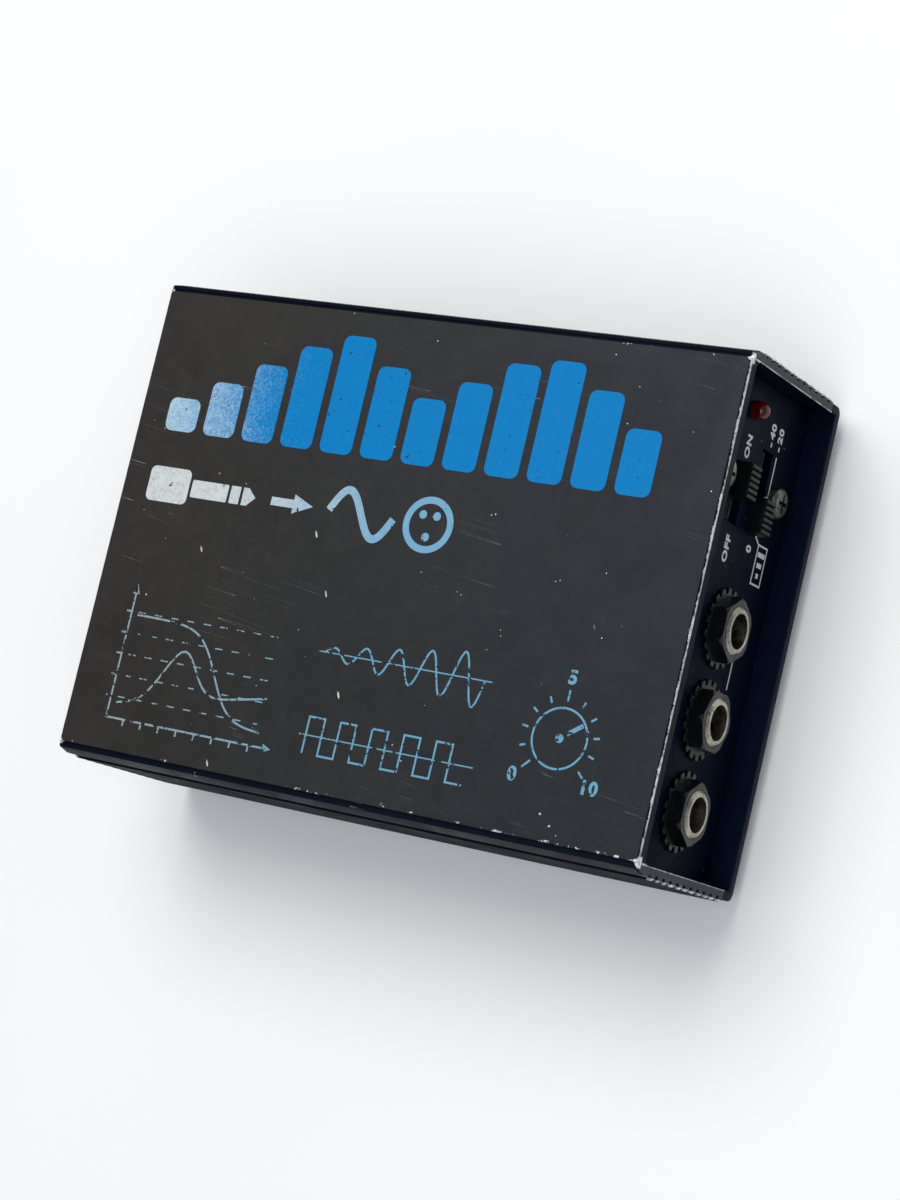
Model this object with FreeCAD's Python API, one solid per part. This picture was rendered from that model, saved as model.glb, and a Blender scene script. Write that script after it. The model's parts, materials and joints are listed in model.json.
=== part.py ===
import FreeCAD, Part
import math
import os

# Direct injection box, millimetres.
# X runs along the case, with the jack sockets at +X and the balanced output at -X.
# Z is up. The origin is on the floor, midway between the feet.

V = FreeCAD.Vector
UP = V(0, 0, 1)
DOWN = V(0, 0, -1)
OUTWARD = V(1, 0, 0)
INWARD = V(-1, 0, 0)

# ---- Case ----
CASE_LENGTH = 125.0
CASE_WIDTH = 94.0
BODY_HEIGHT = 41.0
FOOT_HEIGHT = 4.0
TOP_FLAT_WIDTH = 89.2
EDGE_GROOVE_WIDTH = 0.6
EDGE_GROOVE_DEPTH = 0.5
BEAD_DROP = 0.2
BEAD_CROWN = 0.6
SHOULDER_WIDTH = 93.2
SHOULDER_DROP = 3.0
SHOULDER_SKIRT = 5.1
SHOULDER_UNDERCUT = 0.5
TOP_THICKNESS = 2.5
WALL_INNER_WIDTH = 89.4
INNER_CORNER = 1.0
END_BEVEL = 0.45
RIB_COUNT = 11
RIB_PITCH = 2.89
RIB_DEPTH = 1.0
RIB_CREST = 1.3
RIB_BASE = 2.0
FIRST_RIB_DROP = 7.0
BOSS_X = 26.0
BOSS_Y = 40.5
BOSS_RADIUS = 3.2
BOSS_WEB = 2.0
BOSS_HOLE_DEPTH = 11.0
STOP_SIZE = 1.2

# ---- Bottom cover and feet ----
FLOOR_THICKNESS = 2.0
COVER_WIDTH = 92.9
LIP_HEIGHT = 3.9
LIP_THICKNESS = 1.75
COVER_CORNER_RADIUS = 1.7
FOOT_X = 50.4
FOOT_Y = 36.0
FOOT_TOP_RADIUS = 6.2
FOOT_BOTTOM_RADIUS = 5.7
FOOT_EDGE = 0.6
FOOT_POCKET_DEPTH = 2.6
FOOT_POCKET_RADIUS = 3.3

# ---- End panels ----
RECESS = 5.0
PANEL_THICKNESS = 1.6
PANEL_SIDE_GAP = 0.2
PANEL_TOP_GAP = 0.1
PANEL_CORNER = 1.2
FLANGE_DEPTH = 11.0
COLLAR_RADIUS = 2.6
COLLAR_HEIGHT = 1.4

# ---- Fasteners, all M3 ----
SCREW_RADIUS = 1.5
TAPPED_RADIUS = 1.55
CLEAR_RADIUS = 1.7
HEAD_RADIUS = 2.95
HEAD_HEIGHT = 1.9
HEAD_ROUNDING = 1.1
FLAT_HEAD_DEPTH = 1.45
CROSS_LENGTH = 3.4
CROSS_WIDTH = 0.7
CROSS_DEPTH = 1.1
COVER_SCREW_LENGTH = 10.0
FOOT_SCREW_LENGTH = 6.6
BOARD_SCREW_LENGTH = 4.5
XLR_SCREW_LENGTH = 4.5

# ---- Slide switches ----
UPPER_ROW_DROP = 16.1
LOWER_ROW_DROP = 25.0
SWITCH_STEP = 4.3
KNOB_LENGTH = 6.5
KNOB_HEIGHT = 4.0
KNOB_REACH = 3.0
KNOB_RIDGES = 6
RIDGE_DEPTH = 0.55
RIDGE_LAND_SHARE = 0.25
SLOT_SIDE_GAP = 0.35
SLOT_END_GAP = 0.15
CARRIAGE_LENGTH = 9.0
CARRIAGE_HEIGHT = 5.6
CARRIAGE_DEPTH = 2.1
RUN_GAP = 0.3
CAN_HEIGHT = 7.0
CAN_DEPTH = 7.4
CAN_WALL = 0.4
CAN_FACE_GAP = 0.1
SWITCH_BASE_DEPTH = 1.6
SWITCH_BASE_GAP = 0.05
TERMINAL_SIZE = 0.7
TERMINAL_ROW = 1.6
TERMINAL_TAIL = 1.8

# name, end of the case, slot centre along the panel, row drop, positions, resting step
SWITCHES = (
    ("power", "input", 23.7, UPPER_ROW_DROP, 2, 1),
    ("attenuator", "input", 25.8, LOWER_ROW_DROP, 3, 0),
    ("phase", "output", 14.0, UPPER_ROW_DROP, 2, 0),
    ("ground_lift", "output", 14.0, LOWER_ROW_DROP, 2, 1),
)

# ---- Switch boards, carried by the two screws above and below each pair of switches ----
SWITCH_BOARD_THICKNESS = 1.6
SWITCH_BOARD_LOW = 10.4
SWITCH_BOARD_HIGH = 40.4
SPACER_RADIUS = 2.75
SPIGOT_RADIUS = 1.8
SPIGOT_GAP = 0.05
SPIGOT_TAIL = 0.3
UPPER_SCREW_DROP = 8.3
LOWER_SCREW_DROP = 31.8
# end of the case: screw position along the panel, board's two edges along the panel
SWITCH_GROUPS = {
    "input": (25.6, 14.0, 43.0),
    "output": (14.0, 2.0, 26.0),
}

# ---- Indicator ----
LED_Y = 38.9
LED_RADIUS = 1.7
LED_REACH = 2.8
LED_FLANGE_RADIUS = 2.1
LED_FLANGE_DEPTH = 1.0
LED_HOLE_RADIUS = 1.8
LED_LEAD_RADIUS = 0.25
LED_LEAD_SPACING = 2.54

# ---- Jack sockets ----
JACK_NAMES = ("input", "thru", "unbalanced")
JACK_PITCH = 16.7
JACK_DROP = 21.8
JACK_BORE_RADIUS = 3.25
BUSHING_RADIUS = 4.35
BUSHING_SETBACK = 1.3
BUSHING_LENGTH = 10.2
BUSHING_FLANGE_RADIUS = 5.6
BUSHING_FLANGE_DEPTH = 1.4
BUSHING_BEVEL = 0.4
THREAD_PITCH = 0.75
THREAD_DEPTH = 0.22
PANEL_JACK_RADIUS = 4.7
NUT_FLATS = 10.6
NUT_THICKNESS = 2.6
NUT_BEVEL = 0.5
WASHER_THICKNESS = 0.7
WASHER_TIP_RADIUS = 7.35
WASHER_ROOT_RADIUS = 6.3
WASHER_TEETH = 18
WASHER_TOOTH_SHARE = 0.56
WASHER_FLANK_SHARE = 0.12
FIT_GAP = 0.05
JACK_BODY_SIZE = 13.0
JACK_BODY_LENGTH = 25.9
JACK_BODY_EDGE = 0.8
JACK_BODY_BORE = 3.45
JACK_WINDOW_WIDTH = 3.6
JACK_WINDOW_FLOOR = 2.8
JACK_WINDOW_END = 2.8
CONTACT_WIDTH = 3.0
CONTACT_THICKNESS = 0.4
CONTACT_OFFSET = 4.6
CONTACT_DIP = 2.0
SLEEVE_DIP = 0.5
CONTACT_LUG = 3.0

# ---- Balanced output socket ----
XLR_Y = 17.0
XLR_Z = 24.25
XLR_FLANGE_WIDTH = 26.0
XLR_FLANGE_HEIGHT = 31.0
XLR_FLANGE_THICKNESS = 1.5
XLR_FLANGE_CORNER = 3.0
XLR_RIM = 0.6
XLR_SOCKET_RADIUS = 8.2
XLR_BARREL_RADIUS = 10.2
XLR_PANEL_RADIUS = 10.5
XLR_DEPTH = 23.5
XLR_INSERT_INSET = 15.5
XLR_INSERT_DEPTH = 6.0
XLR_PIN_CIRCLE = 5.0
XLR_PIN_RADIUS = 1.2
XLR_PIN_INSET = 2.2
XLR_PIN_TAIL = 3.5
XLR_PIN_ROUNDING = 0.95
XLR_PIN_ANGLES = (45.0, 135.0, 270.0)
XLR_SCREW_Y = 9.5
XLR_SCREW_Z = 12.0

# ---- Battery, a 9 V block lying flat ----
BATTERY_LENGTH = 48.5
BATTERY_WIDTH = 26.5
BATTERY_HEIGHT = 17.5
BATTERY_X = -1.75
BATTERY_Y = 23.25
BATTERY_EDGE = 1.5
STUD_SPACING = 12.7
STUD_RADIUS = 2.8
STUD_LENGTH = 2.6
SNAP_THICKNESS = 3.4
SNAP_LENGTH = 23.5
SNAP_HEIGHT = 12.0
SNAP_CORNER = 2.0
CLIP_WIDTH = 22.0
CLIP_THICKNESS = 0.8
CLIP_SIDE_HEIGHT = 12.0
CLIP_GAP = 0.2
PAD_THICKNESS = 1.5
RIVET_RADIUS = 1.2
RIVET_HEAD_RADIUS = 2.0
RIVET_HEAD_HEIGHT = 0.7
RIVET_SPACING = 10.0
LEAD_RADIUS = 0.6
LEAD_OFFSET_X = 0.72
LEAD_OFFSET_Z = 2.5
# side of the snap, landing line on the board
LEAD_LANDINGS = ((-1, 5.0), (1, 3.2))

# ---- Main board ----
BOARD_X = 46.0
BOARD_LOW_Y = -36.5
BOARD_HIGH_Y = 7.5
BOARD_THICKNESS = 1.6
STANDOFF_HEIGHT = 5.0
STANDOFF_FLATS = 5.0
STANDOFF_SPOTS = ((-38.0, -32.0), (38.0, -32.0), (-34.0, 3.5), (34.0, 3.5))
ELECTROLYTICS = ((-20.0, -28.0, 4.0, 11.0), (-9.0, -28.0, 4.0, 11.0), (2.0, -28.0, 3.2, 9.0),
                 (12.0, -28.0, 3.2, 9.0), (-20.0, -2.0, 5.0, 12.5), (-38.5, -25.5, 2.5, 7.0))
CAN_RIM_ROUNDING = 0.35
CAN_GROOVE_RADIUS = 0.6
FILM_CAPACITORS = ((-8.0, 2.5), (2.0, 2.5), (12.0, 2.5), (-31.0, -20.0), (-31.0, -12.0))
FILM_LENGTH = 7.2
FILM_DEPTH = 2.8
FILM_HEIGHT = 6.5
FILM_CORNER = 0.45
OP_AMPS = ((-14.0, -13.0), (4.0, -13.0))
OP_AMP_LENGTH = 9.6
OP_AMP_WIDTH = 6.4
OP_AMP_HEIGHT = 3.3
OP_AMP_LIFT = 0.5
OP_AMP_LEGS = 4
LEG_PITCH = 2.54
LEG_WIDTH = 0.5
LEG_THICKNESS = 0.3
TRANSISTORS = ((19.0, -18.0), (19.0, -9.0), (-26.0, -32.0))
TRANSISTOR_RADIUS = 2.4
TRANSISTOR_FLAT = 1.2
TRANSISTOR_HEIGHT = 4.6
TRANSISTOR_LIFT = 2.0
RESISTORS = ((-10.0, -20.0), (0.0, -20.0), (10.0, -20.0), (-10.0, -4.5), (0.0, -4.5), (10.0, -4.5))
RESISTOR_RADIUS = 1.1
RESISTOR_LENGTH = 6.0
RESISTOR_SPAN = 8.6
RESISTOR_LIFT = 0.5
COMPONENT_LEAD_RADIUS = 0.3
WIRE_RADIUS = 0.5
ARC_SHARE = 0.45
# side of the jack's bore, run back from the lug
JACK_WIRE_RUNS = ((1, 3.2), (-1, 1.6))
# run back from the pin's tail, landing line on the board, in the pins' order
XLR_WIRE_RUNS = ((4.0, 0.0), (2.2, 1.8), (4.0, 3.6))
SWITCH_WIRES = 4
SWITCH_WIRE_PITCH = 1.6
SWITCH_WIRE_LIFT = 2.4
SWITCH_WIRE_LANDING = 5.5
INPUT_WIRE_EDGE = 1.2
INPUT_WIRE_INSET = 1.5
OUTPUT_WIRE_EDGE = 1.0
OUTPUT_WIRE_RUN = 3.0

# ---- Worked-out levels ----
CASE_END = CASE_LENGTH / 2
CASE_TOP = FOOT_HEIGHT + BODY_HEIGHT
CEILING = CASE_TOP - TOP_THICKNESS
FLOOR = FOOT_HEIGHT + FLOOR_THICKNESS
LIP_TOP = FOOT_HEIGHT + LIP_HEIGHT
WALL_BOTTOM = LIP_TOP + PANEL_TOP_GAP
PANEL_FRONT = CASE_END - RECESS
PANEL_BACK = PANEL_FRONT - PANEL_THICKNESS
FLANGE_TOP = FLOOR + PANEL_THICKNESS
JACK_Z = CASE_TOP - JACK_DROP
BUSHING_FRONT = CASE_END - BUSHING_SETBACK
BUSHING_BACK = BUSHING_FRONT - BUSHING_LENGTH
JACK_BODY_FRONT = PANEL_BACK - CAN_FACE_GAP
JACK_BODY_BACK = JACK_BODY_FRONT - JACK_BODY_LENGTH
CAN_FRONT = PANEL_BACK - CAN_FACE_GAP
CAN_BACK = CAN_FRONT - CAN_DEPTH
CARRIAGE_FRONT = CAN_FRONT - CAN_WALL - RUN_GAP
SWITCH_BOARD_FRONT = CAN_BACK
SWITCH_BOARD_BACK = SWITCH_BOARD_FRONT - SWITCH_BOARD_THICKNESS
BOARD_BOTTOM = FLOOR + STANDOFF_HEIGHT
BOARD_TOP = BOARD_BOTTOM + BOARD_THICKNESS
BATTERY_BOTTOM = FLOOR + CLIP_THICKNESS + PAD_THICKNESS
XLR_FRONT = -PANEL_FRONT - XLR_FLANGE_THICKNESS - XLR_RIM

CORNERS = ((-1, -1), (1, -1), (1, 1), (-1, 1))
GROOVE_OVERCUT = 1.0


# ---- Shape helpers ----
def box(x, y, z):
    """A box from three (low, high) pairs."""
    return Part.makeBox(x[1] - x[0], y[1] - y[0], z[1] - z[0], V(x[0], y[0], z[0]))


def around(centre, size):
    """A (low, high) pair about a centre."""
    return (centre - size / 2, centre + size / 2)


def rod(radius, start, end):
    """A round bar between two points."""
    return Part.makeCylinder(radius, start.distanceToPoint(end), start, end - start)


def prism(points, travel):
    """A closed outline carried along a vector."""
    return Part.Face(Part.makePolygon(points + [points[0]])).extrude(travel)


def revolve(points, centre, axis):
    """A closed outline turned once round an axis."""
    return Part.Face(Part.makePolygon(points + [points[0]])).revolve(centre, axis, 360)


def aim(shape, point, direction):
    """Carry a shape built at the origin along +Z to a point and direction."""
    shape.Placement = FreeCAD.Placement(point, FreeCAD.Rotation(UP, direction))
    return shape


def fuse(shapes):
    """One solid from shapes that overlap."""
    return shapes[0].multiFuse(shapes[1:]).removeSplitter()


def group(shapes):
    """Separate solids that share one node."""
    return Part.makeCompound(shapes)


def at_end(shape, end):
    """Turn a shape built at the input end round to the output end if asked."""
    turned = shape.copy()
    if end == "output":
        turned.rotate(V(0, 0, 0), UP, 180)
    return turned


def end_point(x, y, z, end):
    """The point that matches at_end."""
    side = -1 if end == "output" else 1
    return V(side * x, side * y, z)


def edges_along_x(shape, y_size, z):
    """The shape's straight edges along X at Y = +/- y_size and height z."""
    found = []
    for edge in shape.Edges:
        bounds = edge.BoundBox
        on_side = abs(abs(bounds.Center.y) - y_size) < FIT_GAP
        on_level = abs(bounds.Center.z - z) < FIT_GAP
        if on_side and on_level and bounds.XLength > bounds.YLength + bounds.ZLength:
            found.append(edge)
    return found


def round_box(x, y, z, radius, along):
    """A box whose edges along one axis are rounded."""
    solid = box(x, y, z)
    keep = []
    for edge in solid.Edges:
        lengths = {"x": edge.BoundBox.XLength, "y": edge.BoundBox.YLength, "z": edge.BoundBox.ZLength}
        if lengths[along] > FIT_GAP:
            keep.append(edge)
    return solid.makeFillet(radius, keep)


def wire_tube(points, radius):
    """A tube along straight runs joined by tangent arcs."""
    edges = []
    start = points[0]
    for before, corner, after in zip(points, points[1:], points[2:]):
        arrive = (corner - before).normalize()
        leave = (after - corner).normalize()
        turn = arrive.getAngle(leave)
        shorter = min(before.distanceToPoint(corner), corner.distanceToPoint(after))
        setback = ARC_SHARE * shorter
        arc_radius = setback / math.tan(turn / 2)
        arc_start = corner - arrive * setback
        arc_end = corner + leave * setback
        inward = (leave - arrive).normalize()
        centre = corner + inward * (arc_radius / math.cos(turn / 2))
        middle = centre - inward * arc_radius
        edges.append(Part.LineSegment(start, arc_start).toShape())
        edges.append(Part.Arc(arc_start, middle, arc_end).toShape())
        start = arc_end
    edges.append(Part.LineSegment(start, points[-1]).toShape())
    path = Part.Wire(edges)
    circle = Part.Circle(points[0], points[1] - points[0], radius)
    return path.makePipeShell([Part.Wire(circle.toShape())], True, True)


# ---- Fasteners ----
def cross_recess(top):
    """The cross-shaped driver recess of a head whose top is at a height."""
    depth = (top - CROSS_DEPTH, top + GROOVE_OVERCUT)
    arm = box(around(0, CROSS_LENGTH), around(0, CROSS_WIDTH), depth)
    crossing = box(around(0, CROSS_WIDTH), around(0, CROSS_LENGTH), depth)
    return arm.fuse(crossing)


def pan_screw(length):
    """A pan-head screw: the head stands above z = 0 and the shank hangs below."""
    head = Part.makeCylinder(HEAD_RADIUS, HEAD_HEIGHT)
    rim = [edge for edge in head.Edges if edge.BoundBox.ZMin > HEAD_HEIGHT - FIT_GAP]
    head = head.makeFillet(HEAD_ROUNDING, rim)
    shank = Part.makeCylinder(SCREW_RADIUS, length, V(0, 0, -length))
    return fuse([head, shank]).cut(cross_recess(HEAD_HEIGHT))


def flat_head(extra):
    """The cone of a countersunk head flush with z = 0, enlarged all over by extra."""
    foot = V(0, 0, -FLAT_HEAD_DEPTH)
    return Part.makeCone(SCREW_RADIUS + extra, HEAD_RADIUS + extra, FLAT_HEAD_DEPTH, foot)


def flat_screw(length):
    """A countersunk screw with its face flush with z = 0."""
    shank = Part.makeCylinder(SCREW_RADIUS, length, V(0, 0, -length))
    return fuse([flat_head(0), shank]).cut(cross_recess(0))


# ---- Case ----
def cover_half_outline():
    """One half of the case cover's section, outside then inside, as (y, z) pairs."""
    crest_y = CASE_WIDTH / 2
    valley_y = crest_y - RIB_DEPTH
    flat_y = TOP_FLAT_WIDTH / 2
    bead_y = flat_y + EDGE_GROOVE_WIDTH
    bead_z = CASE_TOP - BEAD_DROP
    groove_z = CASE_TOP - EDGE_GROOVE_DEPTH
    shoulder_y = SHOULDER_WIDTH / 2
    skirt_z = CASE_TOP - SHOULDER_SKIRT
    half = [(flat_y, CASE_TOP), (flat_y, groove_z), (bead_y, groove_z), (bead_y, bead_z)]
    half += [(bead_y + BEAD_CROWN, bead_z), (shoulder_y, CASE_TOP - SHOULDER_DROP), (shoulder_y, skirt_z)]
    half.append((valley_y, skirt_z - SHOULDER_UNDERCUT))
    for rib in range(RIB_COUNT):
        centre = CASE_TOP - FIRST_RIB_DROP - rib * RIB_PITCH
        half.append((valley_y, centre + RIB_BASE / 2))
        half.append((crest_y, centre + RIB_CREST / 2))
        half.append((crest_y, centre - RIB_CREST / 2))
        half.append((valley_y, centre - RIB_BASE / 2))
    inner_y = WALL_INNER_WIDTH / 2
    half += [(valley_y, WALL_BOTTOM), (inner_y, WALL_BOTTOM), (inner_y, CEILING - INNER_CORNER)]
    half.append((inner_y - INNER_CORNER, CEILING))
    return half


def extrude_section(half, length):
    """Mirror a half section about Y = 0 and carry it along X."""
    points = [V(-length / 2, y, z) for y, z in half]
    points += [V(-length / 2, -y, z) for y, z in reversed(half)]
    return prism(points, V(length, 0, 0))


def bevelled_envelope():
    """The cover's outer envelope, with a small bevel round both ends."""
    flat_y = TOP_FLAT_WIDTH / 2
    crown_y = flat_y + EDGE_GROOVE_WIDTH + BEAD_CROWN
    shoulder_z = CASE_TOP - SHOULDER_DROP
    first_rib_top = CASE_TOP - FIRST_RIB_DROP + RIB_BASE / 2
    half = [(flat_y, CASE_TOP), (crown_y, CASE_TOP - BEAD_DROP), (SHOULDER_WIDTH / 2, shoulder_z),
            (CASE_WIDTH / 2, first_rib_top), (CASE_WIDTH / 2, FOOT_HEIGHT)]
    solid = extrude_section(half, CASE_LENGTH)
    rim = []
    for edge in solid.Edges:
        bounds = edge.BoundBox
        at_bottom = bounds.ZMax < FOOT_HEIGHT + FIT_GAP
        if bounds.XLength < FIT_GAP and not at_bottom:
            rim.append(edge)
    return solid.makeChamfer(END_BEVEL, rim)


def cover_boss(x_side, y_side):
    """A column inside the cover that takes a bottom screw, webbed to the side wall."""
    x = x_side * BOSS_X
    y = y_side * BOSS_Y
    column = rod(BOSS_RADIUS, V(x, y, FLOOR + PANEL_TOP_GAP), V(x, y, CEILING + INNER_CORNER))
    reach = sorted((y, y_side * (WALL_INNER_WIDTH / 2 + FIT_GAP)))
    web = box(around(x, BOSS_WEB), reach, (WALL_BOTTOM + PANEL_SIDE_GAP, CEILING))
    return [column, web]


def case_cover():
    """The top, shoulders and ribbed walls in one piece, with bosses and panel stops inside."""
    shell = extrude_section(cover_half_outline(), CASE_LENGTH).common(bevelled_envelope())
    pieces = [shell]
    for x_side, y_side in CORNERS:
        pieces += cover_boss(x_side, y_side)
    stop_width = WALL_INNER_WIDTH - 2 * INNER_CORNER
    for side in (-1, 1):
        near = side * (PANEL_BACK - PANEL_TOP_GAP)
        span = sorted((near, near - side * STOP_SIZE))
        pieces.append(box(span, around(0, stop_width), (CEILING - STOP_SIZE, CEILING + INNER_CORNER)))
    solid = fuse(pieces)
    for x_side, y_side in CORNERS:
        foot = V(x_side * BOSS_X, y_side * BOSS_Y, FLOOR - GROOVE_OVERCUT)
        solid = solid.cut(rod(TAPPED_RADIUS, foot, foot + UP * (BOSS_HOLE_DEPTH + GROOVE_OVERCUT)))
    return solid


def bottom_cover():
    """The floor plate with low side lips and rounded long edges, drilled for what it carries."""
    outer_y = COVER_WIDTH / 2
    inner_y = outer_y - LIP_THICKNESS
    half = [(outer_y, FOOT_HEIGHT), (outer_y, LIP_TOP), (inner_y, LIP_TOP), (inner_y, FLOOR)]
    solid = extrude_section(half, CASE_LENGTH)
    solid = solid.makeFillet(COVER_CORNER_RADIUS, edges_along_x(solid, outer_y, FOOT_HEIGHT))
    below = V(0, 0, FOOT_HEIGHT - GROOVE_OVERCUT)
    above = V(0, 0, FLOOR + GROOVE_OVERCUT)
    for x_side, y_side in CORNERS:
        boss = V(x_side * BOSS_X, y_side * BOSS_Y, 0)
        solid = solid.cut(rod(CLEAR_RADIUS, boss + below, boss + above))
        solid = solid.cut(aim(flat_head(FIT_GAP), boss + V(0, 0, FOOT_HEIGHT), DOWN))
        foot = V(x_side * FOOT_X, y_side * FOOT_Y, 0)
        solid = solid.cut(rod(CLEAR_RADIUS, foot + below, foot + above))
    for x, y in STANDOFF_SPOTS:
        solid = solid.cut(rod(SPIGOT_RADIUS + SPIGOT_GAP, V(x, y, 0) + below, V(x, y, 0) + above))
    for x in around(BATTERY_X, RIVET_SPACING):
        spot = V(x, BATTERY_Y, 0)
        solid = solid.cut(rod(RIVET_RADIUS + FIT_GAP, spot + below, spot + above))
    return solid


def cover_screws():
    """Four countersunk screws, up through the bottom cover into the case cover's bosses."""
    spots = [V(x_side * BOSS_X, y_side * BOSS_Y, FOOT_HEIGHT) for x_side, y_side in CORNERS]
    return group([aim(flat_screw(COVER_SCREW_LENGTH), spot, DOWN) for spot in spots])


def rubber_foot(x, y):
    """A tapered round foot with a pocket for its screw head."""
    base = V(x, y, 0)
    foot = Part.makeCone(FOOT_BOTTOM_RADIUS, FOOT_TOP_RADIUS, FOOT_HEIGHT, base)
    rim = [edge for edge in foot.Edges if edge.BoundBox.ZMax < FIT_GAP]
    foot = foot.makeFillet(FOOT_EDGE, rim)
    foot = foot.cut(rod(FOOT_POCKET_RADIUS, base, base + UP * FOOT_POCKET_DEPTH))
    return foot.cut(rod(CLEAR_RADIUS, base, base + UP * FOOT_HEIGHT))


def rubber_feet():
    """Four feet near the corners."""
    return group([rubber_foot(x_side * FOOT_X, y_side * FOOT_Y) for x_side, y_side in CORNERS])


def foot_screws():
    """Four screws that clamp foot, bottom cover and panel flange together."""
    spots = [V(x_side * FOOT_X, y_side * FOOT_Y, FOOT_POCKET_DEPTH) for x_side, y_side in CORNERS]
    return group([aim(pan_screw(FOOT_SCREW_LENGTH), spot, DOWN) for spot in spots])


# ---- End panels, built at the input end ----
def blank_panel():
    """An end plate with a flange along its foot and threaded collars for the foot screws."""
    side = WALL_INNER_WIDTH / 2 - PANEL_SIDE_GAP
    top = CEILING - PANEL_TOP_GAP
    half = [(side - PANEL_CORNER, top), (side, top - PANEL_CORNER), (side, FLOOR)]
    points = [V(PANEL_BACK, y, z) for y, z in half]
    points += [V(PANEL_BACK, -y, z) for y, z in reversed(half)]
    plate = prism(points, V(PANEL_THICKNESS, 0, 0))
    flange = box((PANEL_BACK - FLANGE_DEPTH, PANEL_FRONT - FIT_GAP), (-side, side), (FLOOR, FLANGE_TOP))
    pieces = [plate, flange]
    for y in (-FOOT_Y, FOOT_Y):
        pieces.append(rod(COLLAR_RADIUS, V(FOOT_X, y, FLOOR), V(FOOT_X, y, FLANGE_TOP + COLLAR_HEIGHT)))
    solid = fuse(pieces)
    for y in (-FOOT_Y, FOOT_Y):
        solid = solid.cut(rod(TAPPED_RADIUS, V(FOOT_X, y, FOOT_HEIGHT), V(FOOT_X, y, CEILING)))
    return solid


def panel_hole(y, z, radius):
    """A round cutter through the input-end plate."""
    back = PANEL_BACK - GROOVE_OVERCUT
    return rod(radius, V(back, y, z), V(PANEL_FRONT + GROOVE_OVERCUT, y, z))


def travel_of(positions):
    """How far a switch with this many positions slides."""
    return SWITCH_STEP * (positions - 1)


def slot_cutter(y, z, positions, front, back):
    """The slot that a knob slides in, between two depths."""
    length = KNOB_LENGTH + travel_of(positions) + 2 * SLOT_END_GAP
    return box((back, front), around(y, length), around(z, KNOB_HEIGHT + 2 * SLOT_SIDE_GAP))


def cut_switch_openings(panel, end):
    """Cut one end's slots and the two holes for the screws above and below them."""
    for _, switch_end, y, drop, positions, _ in SWITCHES:
        if switch_end == end:
            back = PANEL_BACK - GROOVE_OVERCUT
            front = PANEL_FRONT + GROOVE_OVERCUT
            panel = panel.cut(slot_cutter(y, CASE_TOP - drop, positions, front, back))
    for drop in (UPPER_SCREW_DROP, LOWER_SCREW_DROP):
        panel = panel.cut(panel_hole(SWITCH_GROUPS[end][0], CASE_TOP - drop, CLEAR_RADIUS))
    return panel


def input_panel():
    """The end plate with the jacks, two switches and the indicator."""
    panel = cut_switch_openings(blank_panel(), "input")
    panel = panel.cut(panel_hole(LED_Y, CASE_TOP - UPPER_ROW_DROP, LED_HOLE_RADIUS))
    for number in range(len(JACK_NAMES)):
        panel = panel.cut(panel_hole(-number * JACK_PITCH, JACK_Z, PANEL_JACK_RADIUS))
    return panel


def xlr_screw_spots():
    """Two opposite corners of the output socket's flange, at the input end's side of the turn."""
    return [(-XLR_Y - XLR_SCREW_Y, XLR_Z + XLR_SCREW_Z), (-XLR_Y + XLR_SCREW_Y, XLR_Z - XLR_SCREW_Z)]


def output_panel():
    """The end plate with the balanced output and two switches."""
    panel = cut_switch_openings(blank_panel(), "output")
    panel = panel.cut(panel_hole(-XLR_Y, XLR_Z, XLR_PANEL_RADIUS))
    for y, z in xlr_screw_spots():
        panel = panel.cut(panel_hole(y, z, TAPPED_RADIUS))
    return at_end(panel, "output")


# ---- Slide switches, built at the input end ----
def can_length(positions):
    """The outside length of a switch can."""
    return CARRIAGE_LENGTH + travel_of(positions) + 2 * (RUN_GAP + CAN_WALL)


def switch_can(y, z, positions):
    """A folded metal can, open at the back, with a window for the knob."""
    length = can_length(positions)
    outer = box((CAN_BACK, CAN_FRONT), around(y, length), around(z, CAN_HEIGHT))
    inner_length = length - 2 * CAN_WALL
    inner_height = CAN_HEIGHT - 2 * CAN_WALL
    hollow = box((CAN_BACK - GROOVE_OVERCUT, CAN_FRONT - CAN_WALL), around(y, inner_length),
                 around(z, inner_height))
    window = slot_cutter(y, z, positions, CAN_FRONT + GROOVE_OVERCUT, CAN_FRONT - CAN_WALL - GROOVE_OVERCUT)
    return outer.cut(hollow).cut(window)


def terminal_spots(y, z, positions):
    """Where a switch's terminals pass through its base, two rows of positions + 1."""
    spots = []
    for column in range(positions + 1):
        along = y + (column - positions / 2) * SWITCH_STEP
        for row in (-1, 1):
            spots.append((along, z + row * TERMINAL_ROW))
    return spots


def switch_base(y, z, positions):
    """The insulating plate that closes the back of the can."""
    length = can_length(positions) - 2 * (CAN_WALL + SWITCH_BASE_GAP)
    height = CAN_HEIGHT - 2 * (CAN_WALL + SWITCH_BASE_GAP)
    plate = box((CAN_BACK, CAN_BACK + SWITCH_BASE_DEPTH), around(y, length), around(z, height))
    size = TERMINAL_SIZE + 2 * SWITCH_BASE_GAP
    for along, level in terminal_spots(y, z, positions):
        depth = (CAN_BACK - GROOVE_OVERCUT, CAN_BACK + SWITCH_BASE_DEPTH + GROOVE_OVERCUT)
        plate = plate.cut(box(depth, around(along, size), around(level, size)))
    return plate


def terminals(y, z, positions):
    """The switch's terminals, from the base through the switch board."""
    depth = (SWITCH_BOARD_BACK - TERMINAL_TAIL, CAN_BACK + SWITCH_BASE_DEPTH + SWITCH_BASE_GAP)
    pins = []
    for along, level in terminal_spots(y, z, positions):
        pins.append(box(depth, around(along, TERMINAL_SIZE), around(level, TERMINAL_SIZE)))
    return pins


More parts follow.
